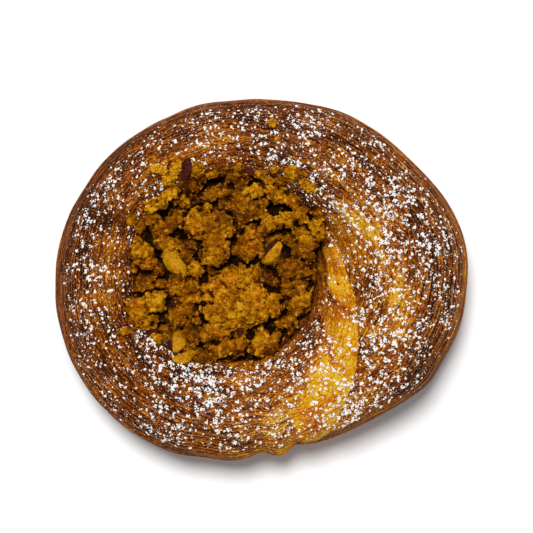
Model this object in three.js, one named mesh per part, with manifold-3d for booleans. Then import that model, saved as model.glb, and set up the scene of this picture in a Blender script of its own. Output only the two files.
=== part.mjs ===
// Apple danish: one strip of laminated dough, coiled once and a quarter round a well with its tail lapped
// over its own start, and a heap of apple and nut crumble baked into the well.
// Millimetres, +Z up. The origin is the centre of the outline, on the surface that the danish rests on.

import * as THREE from "three";
import { mergeVertices } from "three/addons/utils/BufferGeometryUtils.js";
import Module from "manifold-3d";

const wasm = await Module();
wasm.setup();

// ---------------------------------------------------------------- driving dimensions

// The outline seen from above, as waves round the middle of the well: [waves in a turn, height, bearing of a crest].
const OUTLINE_MEAN = 53.2;
const OUTLINE_WAVES = [
  [1, 8.5, -26],
  [2, 3.75, 5.6],
  [3, 1.67, -4],
  [4, 0.63, -15],
  [5, 0.3, -22],
];
// A notch where the tail ends, and the start coming out beside it as a nub: [bearing, height, half width in degrees].
const OUTLINE_DENTS = [
  [-68, -0.9, 3.2],
  [-74.5, 1.2, 3],
];
const WELL_FLOOR = 7; // height of the dough under the crumble
const WELL_FLOOR_RADIUS = 36; // it ends inside the coil
const PLATE_SIDES = 48;

// The strip runs clockwise from its hidden start. Each station is a turn from there in degrees, the radius of
// the strip's inner edge, its height, and the height at which it is widest.
const START_BEARING = 26;
const TAIL_TURN = 454;
const STATIONS = [
  { turn: 0, inner: 25.5, height: 21, belly: 9 },
  { turn: 26, inner: 23.5, height: 26, belly: 11 },
  { turn: 60, inner: 23.5, height: 27.5, belly: 11.5 },
  { turn: 95, inner: 24, height: 28, belly: 11.5 },
  { turn: 140, inner: 24, height: 28.5, belly: 11.5 },
  { turn: 206, inner: 24, height: 29.5, belly: 12 },
  { turn: 290, inner: 24, height: 31, belly: 12.5 },
  { turn: 345, inner: 25, height: 32.5, belly: 13 },
  { turn: 366, inner: 29.6, height: 33.5, belly: 13 },
  { turn: 388, inner: 31.2, height: 34, belly: 13 },
  { turn: 411, inner: 37.3, height: 33, belly: 12.5 },
  { turn: 428, inner: 44.2, height: 30.5, belly: 11.5 },
  { turn: 440, inner: 47.3, height: 26.5, belly: 10 },
  { turn: 448, inner: 48.4, height: 22, belly: 9 },
  { turn: TAIL_TURN, inner: 49.6, height: 17, belly: 7 },
];
const START_WIDTH = 11; // at the hidden start
const TUCK_TURN = 104; // the start has slid out from under the tail here, and reaches the outline
const TOP_FULLNESS = 2.4; // power of the rounded section: 2 is an ellipse
const BASE_DEPTH = 1.25; // the section's lower half is cut flat at this share of its own depth

// The edges of the layers, which run along the strip as ridges.
const RIDGE_LOW = 0.35;
const RIDGE_HIGH = 0.85;
const GROOVE = 0.4; // depth of a groove to the height of a ridge
const RIDGE_FADE = 0.3; // share of its height by which a ridge rises and falls on its way
const WAVINESS = 0.5; // slow unevenness of the strip's height
const SECTION_DETAIL = 240; // steps in which a section is measured
const STATION_STEP = 6; // degrees between sections
const RIDGE_LINES = 47; // points over the top of a section, ridge and groove by turns
const LAYER_SHARE = 0.36; // a groove is set back by this share of the way to the ridge outside it
const RIDGE_SEED = 11;

// The crumble. A lump is where its middle lies from the well's, its size across, and its height above the core.
const CRUMBLE_GAP = 0.35; // to the dough
const CORE_RADIUS = 28.5;
const CORE_EDGE = 23.5;
const CORE_TOP = 26.5;
const CORE_SIDES = 26;
const CORE_STEPS = 5;
const CORE_BUMPS = 1.3; // height of the core's unevenness
const CUT_STEP = 18; // degrees between sections of the coil that the heap is trimmed with
const CUT_LINES = 19;
const LUMPS = [
  { x: -5.6, y: 8.6, width: 13.5, depth: 17, rise: 1.0 },
  { x: 3.0, y: -7.0, width: 17, depth: 13, rise: 2.2 },
  { x: 1.2, y: -13.2, width: 14.5, depth: 11, rise: 1.6 },
  { x: 10.5, y: -8.6, width: 13.5, depth: 13, rise: 1.4 },
  { x: -23.7, y: -12, width: 13.5, depth: 11.5, rise: 3.2 },
  { x: -24.2, y: 3.3, width: 8.5, depth: 10, rise: 2.8 },
  { x: -19, y: 18.7, width: 10, depth: 7.5, rise: 3.4 },
  { x: -15, y: 1, width: 6.5, depth: 9, rise: 2.0 },
  { x: -17, y: 10, width: 9.5, depth: 8, rise: 0.8 },
  { x: 14.2, y: 12.2, width: 9.5, depth: 7, rise: 1.8 },
  { x: 12.8, y: 19.3, width: 7, depth: 7, rise: 3.0 },
  { x: 24.5, y: 9, width: 5.5, depth: 6, rise: 3.6 },
  { x: 12, y: 3.9, width: 6, depth: 7.5, rise: 2.2 },
  { x: 18, y: -1, width: 9, depth: 8, rise: -0.6 },
  { x: 20.3, y: -9, width: 8, depth: 8.5, rise: 1.0 },
  { x: -14.2, y: -20.2, width: 5, depth: 6, rise: 3.4 },
  { x: 9.8, y: -21.3, width: 7, depth: 8, rise: 3.4 },
  { x: -0.5, y: -22, width: 10.5, depth: 7, rise: 2.6 },
  { x: -10, y: -4.2, width: 8.5, depth: 11, rise: 0.4 },
];
const LUMP_FLATNESS = 0.72; // height to size across
const SMALL_FLATNESS = 0.88;
const LOBED_SIZE = 7; // a lump over this size has lobes, one more for every step in size
const LOBE_STEP = 4;
const LOBE_SHARE = 0.5; // a lobe's size to its lump's
const LOBE_REACH = 0.33; // how far out in its lump a lobe stands
const SWELLINGS = 4; // soft bumps on a lump, and their height
const SWELLING = 0.07;
const SMALL_LUMPS = 66; // places for them, of which those that a big lump covers stay empty
const COVERED = 0.75; // share of a big lump's half width within which it covers one
const SMALL_LUMP = 5; // least size across, and how much more it can be
const SMALL_LUMP_SPREAD = 2.5;
const FINE_SIZE = 16; // a lump over this size is drawn finer
const COARSE_SIZE = 7.4; // and a small one under this size coarser
const CRUMBLE_SEED = 12;

const CRUST = { color: 0x7d451c, roughness: 0.45, metalness: 0 };
const CRUMBLE = { color: 0x9a6312, roughness: 0.8, metalness: 0 };

// ---------------------------------------------------------------- helpers

const radians = THREE.MathUtils.degToRad;

// A repeatable stream of numbers from 0 to 1.
function randomFrom(seed) {
  let state = seed >>> 0;
  return () => {
    state = (state + 0x6d2b79f5) >>> 0;
    let mixed = Math.imul(state ^ (state >>> 15), state | 1);
    mixed ^= mixed + Math.imul(mixed ^ (mixed >>> 7), mixed | 61);
    return ((mixed ^ (mixed >>> 14)) >>> 0) / 4294967296;
  };
}

// One property of the stations at any turn, on a smooth curve through them.
function alongStrip(property, turn) {
  const last = STATIONS.length - 1;
  const i = THREE.MathUtils.clamp(STATIONS.findIndex((s) => s.turn > turn) - 1, 0, last - 1);
  const start = turn >= TAIL_TURN ? last - 1 : i;
  const [before, a, b, after] = [start - 1, start, start + 1, start + 2].map(
    (k) => STATIONS[THREE.MathUtils.clamp(k, 0, last)],
  );
  const span = b.turn - a.turn;
  const t = (turn - a.turn) / span;
  const slope = (p, q) => (q.turn > p.turn ? ((q[property] - p[property]) / (q.turn - p.turn)) * span : 0);
  const [m0, m1] = [slope(before, b), slope(a, after)];
  const rise = b[property] - a[property];
  return a[property] + m0 * t + (3 * rise - 2 * m0 - m1) * t ** 2 + (m0 + m1 - 2 * rise) * t ** 3;
}

function outlineRadius(bearing) {
  const wavy = OUTLINE_WAVES.reduce(
    (sum, [waves, height, crest]) => sum + height * Math.cos(radians(waves * (bearing - crest))),
    OUTLINE_MEAN,
  );
  return OUTLINE_DENTS.reduce((sum, [middle, height, width]) => {
    const away = THREE.MathUtils.euclideanModulo(bearing - middle + 180, 360) - 180;
    return sum + height * Math.exp(-((away / width) ** 2));
  }, wavy);
}

// The radius of the strip's outer edge: the outline, apart from the start, which lies under the lap.
function outerRadius(turn) {
  const full = outlineRadius(START_BEARING - turn);
  const hidden = STATIONS[0].inner + START_WIDTH;
  return THREE.MathUtils.lerp(hidden, full, THREE.MathUtils.smoothstep(turn, 0, TUCK_TURN));
}

const signedPower = (value, power) => Math.sign(value) * Math.abs(value) ** power;

// The strip's section at a turn, as points and outward normals in radius and height, from the outer foot over the
// top to the inner foot. Both feet lie on the base. They are evenly spaced, but every second one is set back
// towards the one before by a share of the way, so that a groove lies close to a ridge.
function section(turn, count, setBack) {
  const inner = alongStrip("inner", turn);
  const outer = outerRadius(turn);
  const belly = alongStrip("belly", turn);
  const height = alongStrip("height", turn) + WAVINESS * Math.sin(radians(turn * 5 + 40)) * Math.sin(radians(turn * 2));
  const half = (outer - inner) / 2;
  const power = 2 / TOP_FULLNESS;
  const footAngle = Math.asin((1 / BASE_DEPTH) ** (1 / power));
  const dense = Array.from({ length: SECTION_DETAIL + 1 }, (_, k) => {
    const angle = -footAngle + (k / SECTION_DETAIL) * (Math.PI + 2 * footAngle);
    const lift = signedPower(Math.sin(angle), power);
    const z = belly + lift * (lift > 0 ? height - belly : belly * BASE_DEPTH);
    return new THREE.Vector2(inner + half + half * signedPower(Math.cos(angle), power), Math.max(z, 0));
  });
  const lengths = [0];
  for (let k = 1; k < dense.length; k++) lengths.push(lengths[k - 1] + dense[k].distanceTo(dense[k - 1]));
  const total = lengths[lengths.length - 1];
  return Array.from({ length: count }, (_, j) => {
    const shift = j % 2 === 0 && j > 0 && j < count - 1 ? setBack : 0;
    const wanted = Math.min((total * (j - shift)) / (count - 1), total);
    const k = Math.max(
      lengths.findIndex((l) => l >= wanted),
      1,
    );
    const point = dense[k - 1].clone().lerp(dense[k], (wanted - lengths[k - 1]) / (lengths[k] - lengths[k - 1]));
    const along = dense[k].clone().sub(dense[k - 1]).normalize();
    return { point, normal: new THREE.Vector2(along.y, -along.x) };
  });
}

// ---------------------------------------------------------------- solids

function toSolid(geometry) {
  const bare = geometry.index ? geometry.toNonIndexed() : geometry.clone();
  bare.deleteAttribute("normal");
  bare.deleteAttribute("uv");
  const merged = mergeVertices(bare, 1e-4);
  return new wasm.Manifold(
    new wasm.Mesh({
      numProp: 3,
      vertProperties: merged.attributes.position.array,
      triVerts: new Uint32Array(merged.index.array),
    }),
  );
}

function toGeometry(solid) {
  const { numProp, numVert, vertProperties, triVerts } = solid.getMesh();
  const positions = new Float32Array(numVert * 3);
  for (let i = 0; i < numVert; i++) positions.set(vertProperties.subarray(i * numProp, i * numProp + 3), i * 3);
  const geometry = new THREE.BufferGeometry();
  geometry.setAttribute("position", new THREE.BufferAttribute(positions, 3));
  geometry.setIndex(new THREE.BufferAttribute(triVerts, 1));
  geometry.computeVertexNormals();
  return geometry;
}

// A closed length of the strip. relief(turn, line) moves a point of the section out along its normal.
function sweepStrip(fromTurn, toTurn, stationCount, { lineCount, setBack, relief }) {
  const positions = [];
  const indices = [];
  const put = (bearing, radius, z) =>
    positions.push(radius * Math.cos(radians(bearing)), radius * Math.sin(radians(bearing)), z) / 3 - 1;
  const rings = Array.from({ length: stationCount + 1 }, (_, i) => {
    const turn = fromTurn + ((toTurn - fromTurn) * i) / stationCount;
    return section(turn, lineCount, setBack).map(({ point, normal }, j) => {
      const out = relief(turn, j);
      const z = Math.max(point.y + normal.y * out, 0);
      return put(START_BEARING - turn, point.x + normal.x * out, j === 0 || j === lineCount - 1 ? 0 : z);
    });
  });
  for (let i = 0; i < stationCount; i++) {
    for (let j = 0; j < lineCount; j++) {
      const k = (j + 1) % lineCount;
      const [a, b, c, d] = [rings[i][j], rings[i][k], rings[i + 1][k], rings[i + 1][j]];
      indices.push(a, b, d, b, c, d);
    }
  }
  const closeEnd = (ring, turn, flip) => {
    const middle = (alongStrip("inner", turn) + outerRadius(turn)) / 2;
    const hub = put(START_BEARING - turn, middle, alongStrip("belly", turn));
    ring.forEach((a, j) => {
      const b = ring[(j + 1) % ring.length];
      indices.push(...(flip ? [hub, a, b] : [hub, b, a]));
    });
  };
  closeEnd(rings[0], fromTurn, false);
  closeEnd(rings[stationCount], toTurn, true);
  const geometry = new THREE.BufferGeometry();
  geometry.setAttribute("position", new THREE.Float32BufferAttribute(positions, 3));
  geometry.setIndex(indices);
  return toSolid(geometry);
}

// The whole coil, swept in two lengths that meet face to face, so that the lap is a join of two solids.
function coil(stationStep, surface) {
  const middleTurn = TAIL_TURN / 2;
  const count = Math.round(middleTurn / stationStep);
  const start = sweepStrip(0, middleTurn, count, surface);
  return start.add(sweepStrip(middleTurn, TAIL_TURN, count, surface));
}

// A round plate from the base up to a height.
function plate(radius, height) {
  const profile = [
    [0, 0],
    [radius, 0],
    [radius, height],
    [0, height],
  ].map(([r, z]) => new THREE.Vector2(r, z));
  return toSolid(new THREE.LatheGeometry(profile, PLATE_SIDES).rotateX(Math.PI / 2));
}

function makeDough() {
  const random = randomFrom(RIDGE_SEED);
  const lines = Array.from({ length: RIDGE_LINES }, (_, j) => ({
    out: (j % 2 ? 1 : -GROOVE) * THREE.MathUtils.lerp(RIDGE_LOW, RIDGE_HIGH, random()),
    waves: THREE.MathUtils.lerp(2, 7, random()),
    phase: 360 * random(),
  }));
  const relief = (turn, j) => {
    if (j === 0 || j === RIDGE_LINES - 1) return 0;
    const { out, waves, phase } = lines[j];
    return out * (1 - RIDGE_FADE + RIDGE_FADE * Math.sin(radians(turn * waves + phase)));
  };
  const surface = { lineCount: RIDGE_LINES, setBack: LAYER_SHARE, relief };
  return coil(STATION_STEP, surface).add(plate(WELL_FLOOR_RADIUS, WELL_FLOOR));
}

// One lump: a ball with a few soft swellings.
function lump({ x, y, z, width, depth, height, detail }, random) {
  const swellings = Array.from({ length: SWELLINGS }, () => ({
    axis: new THREE.Vector3().setFromSphericalCoords(1, Math.PI * random(), 2 * Math.PI * random()),
    rate: 2.5 + 3 * random(),
    phase: 2 * Math.PI * random(),
  }));
  const geometry = new THREE.IcosahedronGeometry(1, detail);
  const place = geometry.attributes.position;
  const point = new THREE.Vector3();
  for (let i = 0; i < place.count; i++) {
    point.fromBufferAttribute(place, i);
    const swell = swellings.reduce((sum, s) => sum + Math.sin(s.rate * point.dot(s.axis) + s.phase), 0);
    point.multiplyScalar(1 + SWELLING * swell);
    place.setXYZ(i, point.x, point.y, point.z);
  }
  geometry.scale(width / 2, depth / 2, height / 2).translate(x, y, z);
  return toSolid(geometry);
}

const coreHeight = (radius) => THREE.MathUtils.lerp(CORE_TOP, CORE_EDGE, Math.min(radius / CORE_RADIUS, 1) ** 2);

const uneven = (random) => THREE.MathUtils.lerp(0.8, 1.2, random());

// A big lump's lobes stand round its upper half.
function withLobes(body, random) {
  const count = Math.max(0, Math.ceil((Math.min(body.width, body.depth) - LOBED_SIZE) / LOBE_STEP));
  const first = 2 * Math.PI * random();
  const lobes = Array.from({ length: count }, (_, k) => {
    const bearing = first + (2 * Math.PI * k) / count;
    const size = LOBE_SHARE * Math.min(body.width, body.depth) * uneven(random);
    return {
      x: body.x + LOBE_REACH * body.width * Math.cos(bearing),
      y: body.y + LOBE_REACH * body.depth * Math.sin(bearing),
      z: body.z + body.height * THREE.MathUtils.lerp(0.12, 0.32, random()),
      width: size,
      depth: size * uneven(random),
      height: size * SMALL_FLATNESS,
      detail: 1,
    };
  });
  return [body, ...lobes];
}

// The part of the heap that fills the well, uneven on top.
function makeCore(random) {
  const foot = WELL_FLOOR + CRUMBLE_GAP;
  const profile = [new THREE.Vector2(0, foot), new THREE.Vector2(CORE_RADIUS, foot)];
  for (let k = CORE_STEPS; k >= 0; k--) {
    const radius = (CORE_RADIUS * k) / CORE_STEPS;
    profile.push(new THREE.Vector2(radius, coreHeight(radius)));
  }
  const turned = new THREE.LatheGeometry(profile, CORE_SIDES).rotateX(Math.PI / 2);
  const geometry = mergeVertices(turned.deleteAttribute("uv").deleteAttribute("normal"));
  const place = geometry.attributes.position;
  for (let i = 0; i < place.count; i++) {
    if (place.getZ(i) > foot + CRUMBLE_GAP) place.setZ(i, place.getZ(i) + CORE_BUMPS * (random() - 0.5));
  }
  return toSolid(geometry);
}

function makeCrumble() {
  const random = randomFrom(CRUMBLE_SEED);
  const core = makeCore(random);
  const lumps = LUMPS.flatMap(({ x, y, width, depth, rise }) => {
    const height = LUMP_FLATNESS * Math.min(width, depth);
    const z = coreHeight(Math.hypot(x, y)) + rise;
    return withLobes({ x, y, z, width, depth, height, detail: Math.min(width, depth) > FINE_SIZE ? 2 : 1 }, random);
  });
  const covered = (x, y) => LUMPS.some((l) => Math.hypot((x - l.x) / l.width, (y - l.y) / l.depth) < COVERED / 2);
  for (let k = 0; k < SMALL_LUMPS; k++) {
    // Evenly over the round of the well, by the golden angle, with a little play.
    const radius = (CORE_RADIUS - 2) * Math.sqrt((k + 0.5) / SMALL_LUMPS) + 1.5 * (random() - 0.5);
    const bearing = k * Math.PI * (3 - Math.sqrt(5)) + 0.1 * random();
    const [x, y] = [radius * Math.cos(bearing), radius * Math.sin(bearing)];
    if (covered(x, y)) continue;
    const size = SMALL_LUMP + SMALL_LUMP_SPREAD * random();
    lumps.push({
      x,
      y,
      z: coreHeight(radius) - 0.4 + 2 * random(),
      width: size,
      depth: size * uneven(random),
      height: size * SMALL_FLATNESS,
      detail: size > COARSE_SIZE ? 1 : 0,
    });
  }
  const heap = wasm.Manifold.union([core, ...lumps.map((l) => lump(l, random))]);
  const surround = { lineCount: CUT_LINES, setBack: 0, relief: () => CRUMBLE_GAP + RIDGE_HIGH };
  const trimmed = heap.subtract(coil(CUT_STEP, surround));
  const scraps = trimmed.decompose();
  return scraps.reduce((most, scrap) => (scrap.volume() > most.volume() ? scrap : most));
}

// ---------------------------------------------------------------- the danish

const danish = new THREE.Group();
danish.name = "apple_danish";

function addPiece(name, solid, look) {
  const mesh = new THREE.Mesh(toGeometry(solid), new THREE.MeshStandardMaterial(look));
  mesh.name = name;
  danish.add(mesh);
}

addPiece("dough_coil", makeDough(), CRUST);
addPiece("crumble_heap", makeCrumble(), CRUMBLE);

// The shapes are made round the middle of the well, and then moved so that the outline's centre is the origin.
const outlineBox = new THREE.Box3().setFromObject(danish);
const centre = outlineBox.getCenter(new THREE.Vector3());
danish.position.set(-centre.x, -centre.y, 0);

export default danish;
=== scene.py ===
import functools
import math
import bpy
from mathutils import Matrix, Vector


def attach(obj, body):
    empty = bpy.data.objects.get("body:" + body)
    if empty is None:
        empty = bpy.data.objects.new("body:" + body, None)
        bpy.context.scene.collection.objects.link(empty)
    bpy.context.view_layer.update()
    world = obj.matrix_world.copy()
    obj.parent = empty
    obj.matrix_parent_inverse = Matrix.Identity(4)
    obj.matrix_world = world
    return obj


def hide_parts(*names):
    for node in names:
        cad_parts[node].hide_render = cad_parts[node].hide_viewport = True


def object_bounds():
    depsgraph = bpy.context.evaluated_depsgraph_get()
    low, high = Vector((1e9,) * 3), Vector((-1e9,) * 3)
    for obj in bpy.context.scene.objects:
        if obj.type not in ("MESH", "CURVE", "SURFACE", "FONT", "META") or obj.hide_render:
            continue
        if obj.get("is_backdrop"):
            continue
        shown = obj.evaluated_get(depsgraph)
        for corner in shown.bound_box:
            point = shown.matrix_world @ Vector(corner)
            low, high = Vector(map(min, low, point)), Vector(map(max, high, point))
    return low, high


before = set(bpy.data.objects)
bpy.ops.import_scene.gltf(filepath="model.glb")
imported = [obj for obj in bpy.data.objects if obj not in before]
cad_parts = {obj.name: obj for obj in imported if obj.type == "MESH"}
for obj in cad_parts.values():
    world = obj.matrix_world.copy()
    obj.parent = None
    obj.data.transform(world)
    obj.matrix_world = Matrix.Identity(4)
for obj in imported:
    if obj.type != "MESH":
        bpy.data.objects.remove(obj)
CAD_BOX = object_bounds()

from types import SimpleNamespace

import bmesh
import bpy
import numpy as np
from bpy.props import FloatProperty, FloatVectorProperty, IntProperty, PointerProperty
from mathutils import Vector
from mathutils.bvhtree import BVHTree
from mathutils.kdtree import KDTree

bl_info = {
    "name": "Apple Danish",
    "version": (1, 0, 0),
    "blender": (4, 5, 0),
    "location": "3D View > Sidebar > Danish",
    "description": "Builds a coiled danish of laminated dough with apple and nut crumble",
    "category": "Add Mesh",
}

# Shapes are worked out in millimetres round the middle of the well, with bearings in degrees,
# anticlockwise from +X, and turned into metres in the shared frame when a mesh is made.
MM = 0.001
WELL_X, WELL_Y = -9.15, 3.3

# ------------------------------------------------------------------ the strip of dough

OUTLINE_MEAN = 53.2
OUTLINE_WAVES = [(1, 8.5, -26), (2, 3.75, 5.6), (3, 1.67, -4), (4, 0.63, -15), (5, 0.3, -22)]
OUTLINE_DENTS = [
    (-68, -0.9, 3.2), (-74.5, 1.1, 2.6), (-80.5, -1.1, 3), (-98, -0.8, 6), (-116, -0.5, 8), (-6, -1, 8),
    (-174, -1, 8), (-161, -0.5, 7), (170, -0.5, 6), (-20, -1.1, 9), (-45, -0.7, 9), (-30, 0.5, 4),
    (30, -0.8, 9), (55, 0.5, 8), (101, 0.5, 8), (150, -0.5, 12),
]
START_BEARING = 26
TAIL_TURN = 454
# turn, radius of the inner edge, height, height at which the strip is widest
STATIONS = np.array([
    (0, 25.5, 21, 9),
    (26, 23.5, 26, 11),
    (60, 23.5, 27.5, 11.5),
    (95, 24, 28, 11.5),
    (140, 24, 28.5, 11.5),
    (206, 24, 29.5, 12),
    (290, 24, 31, 12.5),
    (345, 25, 32.5, 13),
    (366, 28.6, 33.5, 13),
    (388, 29, 34, 13),
    (411, 34.2, 33, 12.5),
    (428, 41.4, 30.5, 11.5),
    (440, 46.6, 26.5, 10),
    (448, 48.4, 22, 9),
    (TAIL_TURN, 49.6, 17, 7),
], float)
INNER, HEIGHT, BELLY = 1, 2, 3
START_WIDTH = 11
TUCK_TURN = 104
TOP_FULLNESS = 2.4
BASE_DEPTH = 1.25
WELL_FLOOR = 7
WELL_FLOOR_RADIUS = 36
FLOOR_SIDES = 96
# Rings of the well's floor, from below: radius, height.
FLOOR_RINGS = ((WELL_FLOOR_RADIUS - 0.6, 0.1), (WELL_FLOOR_RADIUS, 0.7), (WELL_FLOOR_RADIUS, WELL_FLOOR))
# What the material reads there, and the bake of the rest before spots and streaks change it.
FLOOR_VALUES = {"bake": 0.56, "crest": 0.5, "wall": 1}
USUAL_BAKE = 0.66

STATION_COUNT = 280
LINE_COUNT = 344
# How closely the lines lie over the section, from the outer foot to the inner one.
LINE_PLACES = [0, 0.06, 0.12, 0.7, 0.82, 1]
LINE_CLOSENESS = [0.45, 0.8, 1, 1, 0.45, 0.2]
CUT_TURN = 366  # from here on the tail narrows by losing its inner layers
NOMINAL_ARC = 100  # layers are numbered along a section of this length
# Where along it the outer side ends, for the layers' forms and for their edges.
SIDE_ENDS, EDGES_END = (34, 46), (34, 48)

# Where the start strand was not brushed with egg, it stays pale outside these radii: turn, radius.
PALE_EDGE = [(0, 24.5), (16, 25.2), (32, 27.2), (44, 29.4), (67, 33), (82, 36.5), (92, 42), (98, 51)]
# Short creases: points in mm from the middle of the well, half width, depth.
CREASES = [
    ([(27.9, -8.1), (30.4, -10.3), (33, -12.3), (35.8, -13.9)], 0.5, 0.7),
    ([(16.4, -42.1), (18.4, -45.2), (19.5, -48.8)], 0.6, 0.8),
    ([(24.5, -14), (27.5, -22), (29, -29)], 0.5, 0.35),
    ([(24.4, 7.2), (26.1, 1.2), (27.1, -5), (28.4, -9.6)], 0.5, 0.5),
]
CREASED_TO = 200  # the creases lie in the strip up to this turn
# Darker and paler spots in the bake: x, y, radius, change.
BAKE_SPOTS = [
    (24.9, 0, 1.8, -0.34), (25.4, -5.5, 1.9, -0.34), (6, 38, 9, 0.1), (-29, 32, 7, 0.12),
    (37.1, -22, 2.6, 0.34), (38, -14, 5, -0.1), (52, -28, 9, 0.17), (-40, 14, 7, 0.2), (-40, 0, 8, 0.2),
    (-30.5, 6.5, 3.8, -0.42), (-32, -1, 4.2, -0.38), (-35.5, 13, 4, 0.14), (-36, -17, 6, 0.14),
    (-26.5, 17.5, 3.5, -0.22), (-36, 20, 6, 0.12), (4, -31, 3.2, -0.24), (60, 7, 6, 0.14),
    (60, -8, 6, 0.14), (56, 21, 6, 0.1), (2, -42, 3.5, -0.16), (-33, -8.5, 3.5, -0.24), (0, 31, 9, -0.25),
    (26, 28, 8, -0.12), (-2, 46, 12, 0.07), (30, 38, 11, 0.06), (-16, 28, 7, -0.12), (32.5, 15, 6, -0.36),
    (39, 9, 5.5, -0.36), (43.5, 1, 5.5, -0.4), (45.5, -8, 5, -0.44), (46, -17, 5, -0.36),
    (44.5, -27, 5, -0.3), (36, -36, 6, -0.34), (26, -43, 6, -0.34), (13, -46, 7.5, -0.38),
    (-6, -50, 9, -0.14), (2, -53, 7, -0.1), (15, -38, 6, -0.28), (24.5, -12, 3, -0.14), (62, 0, 6, -0.06),
    (60, -16, 6, -0.06), (-30, -38, 8, 0.04), (-13, -28, 6, 0.06),
]

# Where the sugar fell thicker or thinner, from the middle of the well: x, y, half width, half depth, change.
SUGAR_PATCHES = [
    (-9.5, -31, 6.5, 5.5, 1.3), (-5.5, -40.5, 3.5, 3.5, 0.6), (20, -26, 8, 6, 0.3), (-38, 12, 4.5, 18, 0.2),
    (14, 41, 14, 5, 0.2), (42, 14, 8, 12, 0.6), (44, -14, 7, 10, 0.5), (12, -42, 12, 6, 0.2),
    (34, -40, 9, 6, 0.7), (30, 2, 3.5, 6, 0.2), (31, -30, 6, 7, 0.3), (33, 12, 5, 5, 0.25),
    (-2, -38, 8, 6, 0.15), (46, -4, 9, 14, 0.35), (54, 2, 6, 20, 0.25), (-29, 31, 8, 8, -0.2),
    (-50, -6, 5, 30, -0.9), (-32, 36, 14, 8, -0.4), (-30, -40, 14, 5, -0.35), (10, -50, 24, 3.5, -0.3),
    (20, 48, 30, 4, -0.3), (-33, 4, 4, 14, -0.2),
]


def smooth(x, low, high):
    """0 below low and 1 above high, with a soft step between."""
    t = np.clip((np.asarray(x, float) - low) / (high - low), 0, 1)
    return t * t * (3 - 2 * t)


def along_strip(column, turn):
    """One property of the stations at any turns, on a smooth curve through them."""
    turn = np.asarray(turn, float)
    last = len(STATIONS) - 1
    i = np.clip(np.searchsorted(STATIONS[:, 0], turn, side="right") - 1, 0, last - 1)
    before, after = np.maximum(i - 1, 0), np.minimum(i + 2, last)
    t0, t1 = STATIONS[i, 0], STATIONS[i + 1, 0]
    v0, v1 = STATIONS[i, column], STATIONS[i + 1, column]
    span = t1 - t0
    m0 = (v1 - STATIONS[before, column]) / (t1 - STATIONS[before, 0]) * span
    m1 = (STATIONS[after, column] - v0) / (STATIONS[after, 0] - t0) * span
    t = (turn - t0) / span
    rise = v1 - v0
    return v0 + m0 * t + (3 * rise - 2 * m0 - m1) * t**2 + (m0 + m1 - 2 * rise) * t**3


def outline_radius(bearing):
    radius = OUTLINE_MEAN
    for waves, height, crest in OUTLINE_WAVES:
        radius = radius + height * np.cos(np.radians(waves * (bearing - crest)))
    for middle, height, width in OUTLINE_DENTS:
        away = (bearing - middle + 180) % 360 - 180
        radius = radius + height * np.exp(-((away / width) ** 2))
    return radius


def outer_radius(turn):
    """The outline, apart from the start, which lies under the lap."""
    hidden = STATIONS[0, INNER] + START_WIDTH
    share = smooth(turn, 0, TUCK_TURN)
    return hidden + (outline_radius(START_BEARING - turn) - hidden) * share


def section(turn, places):
    """Radii, heights, normals and arc lengths of the section, at places from 0, the outer foot, to 1."""
    inner, outer = float(along_strip(INNER, turn)), float(outer_radius(turn))
    belly, height = float(along_strip(BELLY, turn)), float(along_strip(HEIGHT, turn))
    height += 0.5 * math.sin(math.radians(turn * 5 + 40)) * math.sin(math.radians(turn * 2))
    half = (outer - inner) / 2
    power = 2 / TOP_FULLNESS
    foot = math.asin((1 / BASE_DEPTH) ** (1 / power))
    angle = np.linspace(-foot, math.pi + foot, 601)
    lift = np.sign(np.sin(angle)) * np.abs(np.sin(angle)) ** power
    side = np.sign(np.cos(angle)) * np.abs(np.cos(angle)) ** power
    z = np.maximum(belly + lift * np.where(lift > 0, height - belly, belly * BASE_DEPTH), 0)
    r = inner + half + half * side
    arc = np.concatenate([[0], np.cumsum(np.hypot(np.diff(r), np.diff(z)))])
    wanted = np.asarray(places) * arc[-1]
    rr, zz = np.interp(wanted, arc, r), np.interp(wanted, arc, z)
    dr, dz = np.gradient(rr, wanted), np.gradient(zz, wanted)
    length = np.hypot(dr, dz)
    return rr, zz, dz / length, -dr / length, wanted


# ------------------------------------------------------------------ helpers

def lattice(i, j, seed):
    """A repeatable number from 0 to 1 for each pair of whole numbers."""
    n = (i * 374761393 + j * 668265263 + seed * 362437) & 0xFFFFFFFF
    n = ((n ^ (n >> 13)) * 1274126177) & 0xFFFFFFFF
    n = n ^ (n >> 16)
    return (n & 0xFFFF) / 65535


def soft_noise(u, v, seed):
    """Smooth noise from -1 to 1, with about one bump to a unit."""
    u, v = np.broadcast_arrays(np.asarray(u, float), np.asarray(v, float))
    i, j = np.floor(u).astype(np.int64), np.floor(v).astype(np.int64)
    s, t = u - i, v - j
    s, t = s * s * (3 - 2 * s), t * t * (3 - 2 * t)
    low = lattice(i, j, seed) * (1 - s) + lattice(i + 1, j, seed) * s
    high = lattice(i, j + 1, seed) * (1 - s) + lattice(i + 1, j + 1, seed) * s
    return 2 * (low * (1 - t) + high * t) - 1


def rough_noise(u, v, seed, octaves=3):
    """Noise with finer noise on it."""
    total, size = 0, 0
    for k in range(octaves):
        total = total + soft_noise(u * 2**k + 17 * k, v * 2**k + 31 * k, seed + k) / 2**k
        size += 1 / 2**k
    return total / size


def distance_to_path(x, y, path):
    """Distance from points to a line through a few points."""
    best = np.full(np.shape(x), 1e9)
    for (x0, y0), (x1, y1) in zip(path, path[1:]):
        dx, dy = x1 - x0, y1 - y0
        t = np.clip(((x - x0) * dx + (y - y0) * dy) / (dx * dx + dy * dy), 0, 1)
        best = np.minimum(best, np.hypot(x - x0 - t * dx, y - y0 - t * dy))
    return best


def way(degrees):
    """The cosine and the sine of a bearing."""
    return math.cos(math.radians(degrees)), math.sin(math.radians(degrees))


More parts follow.
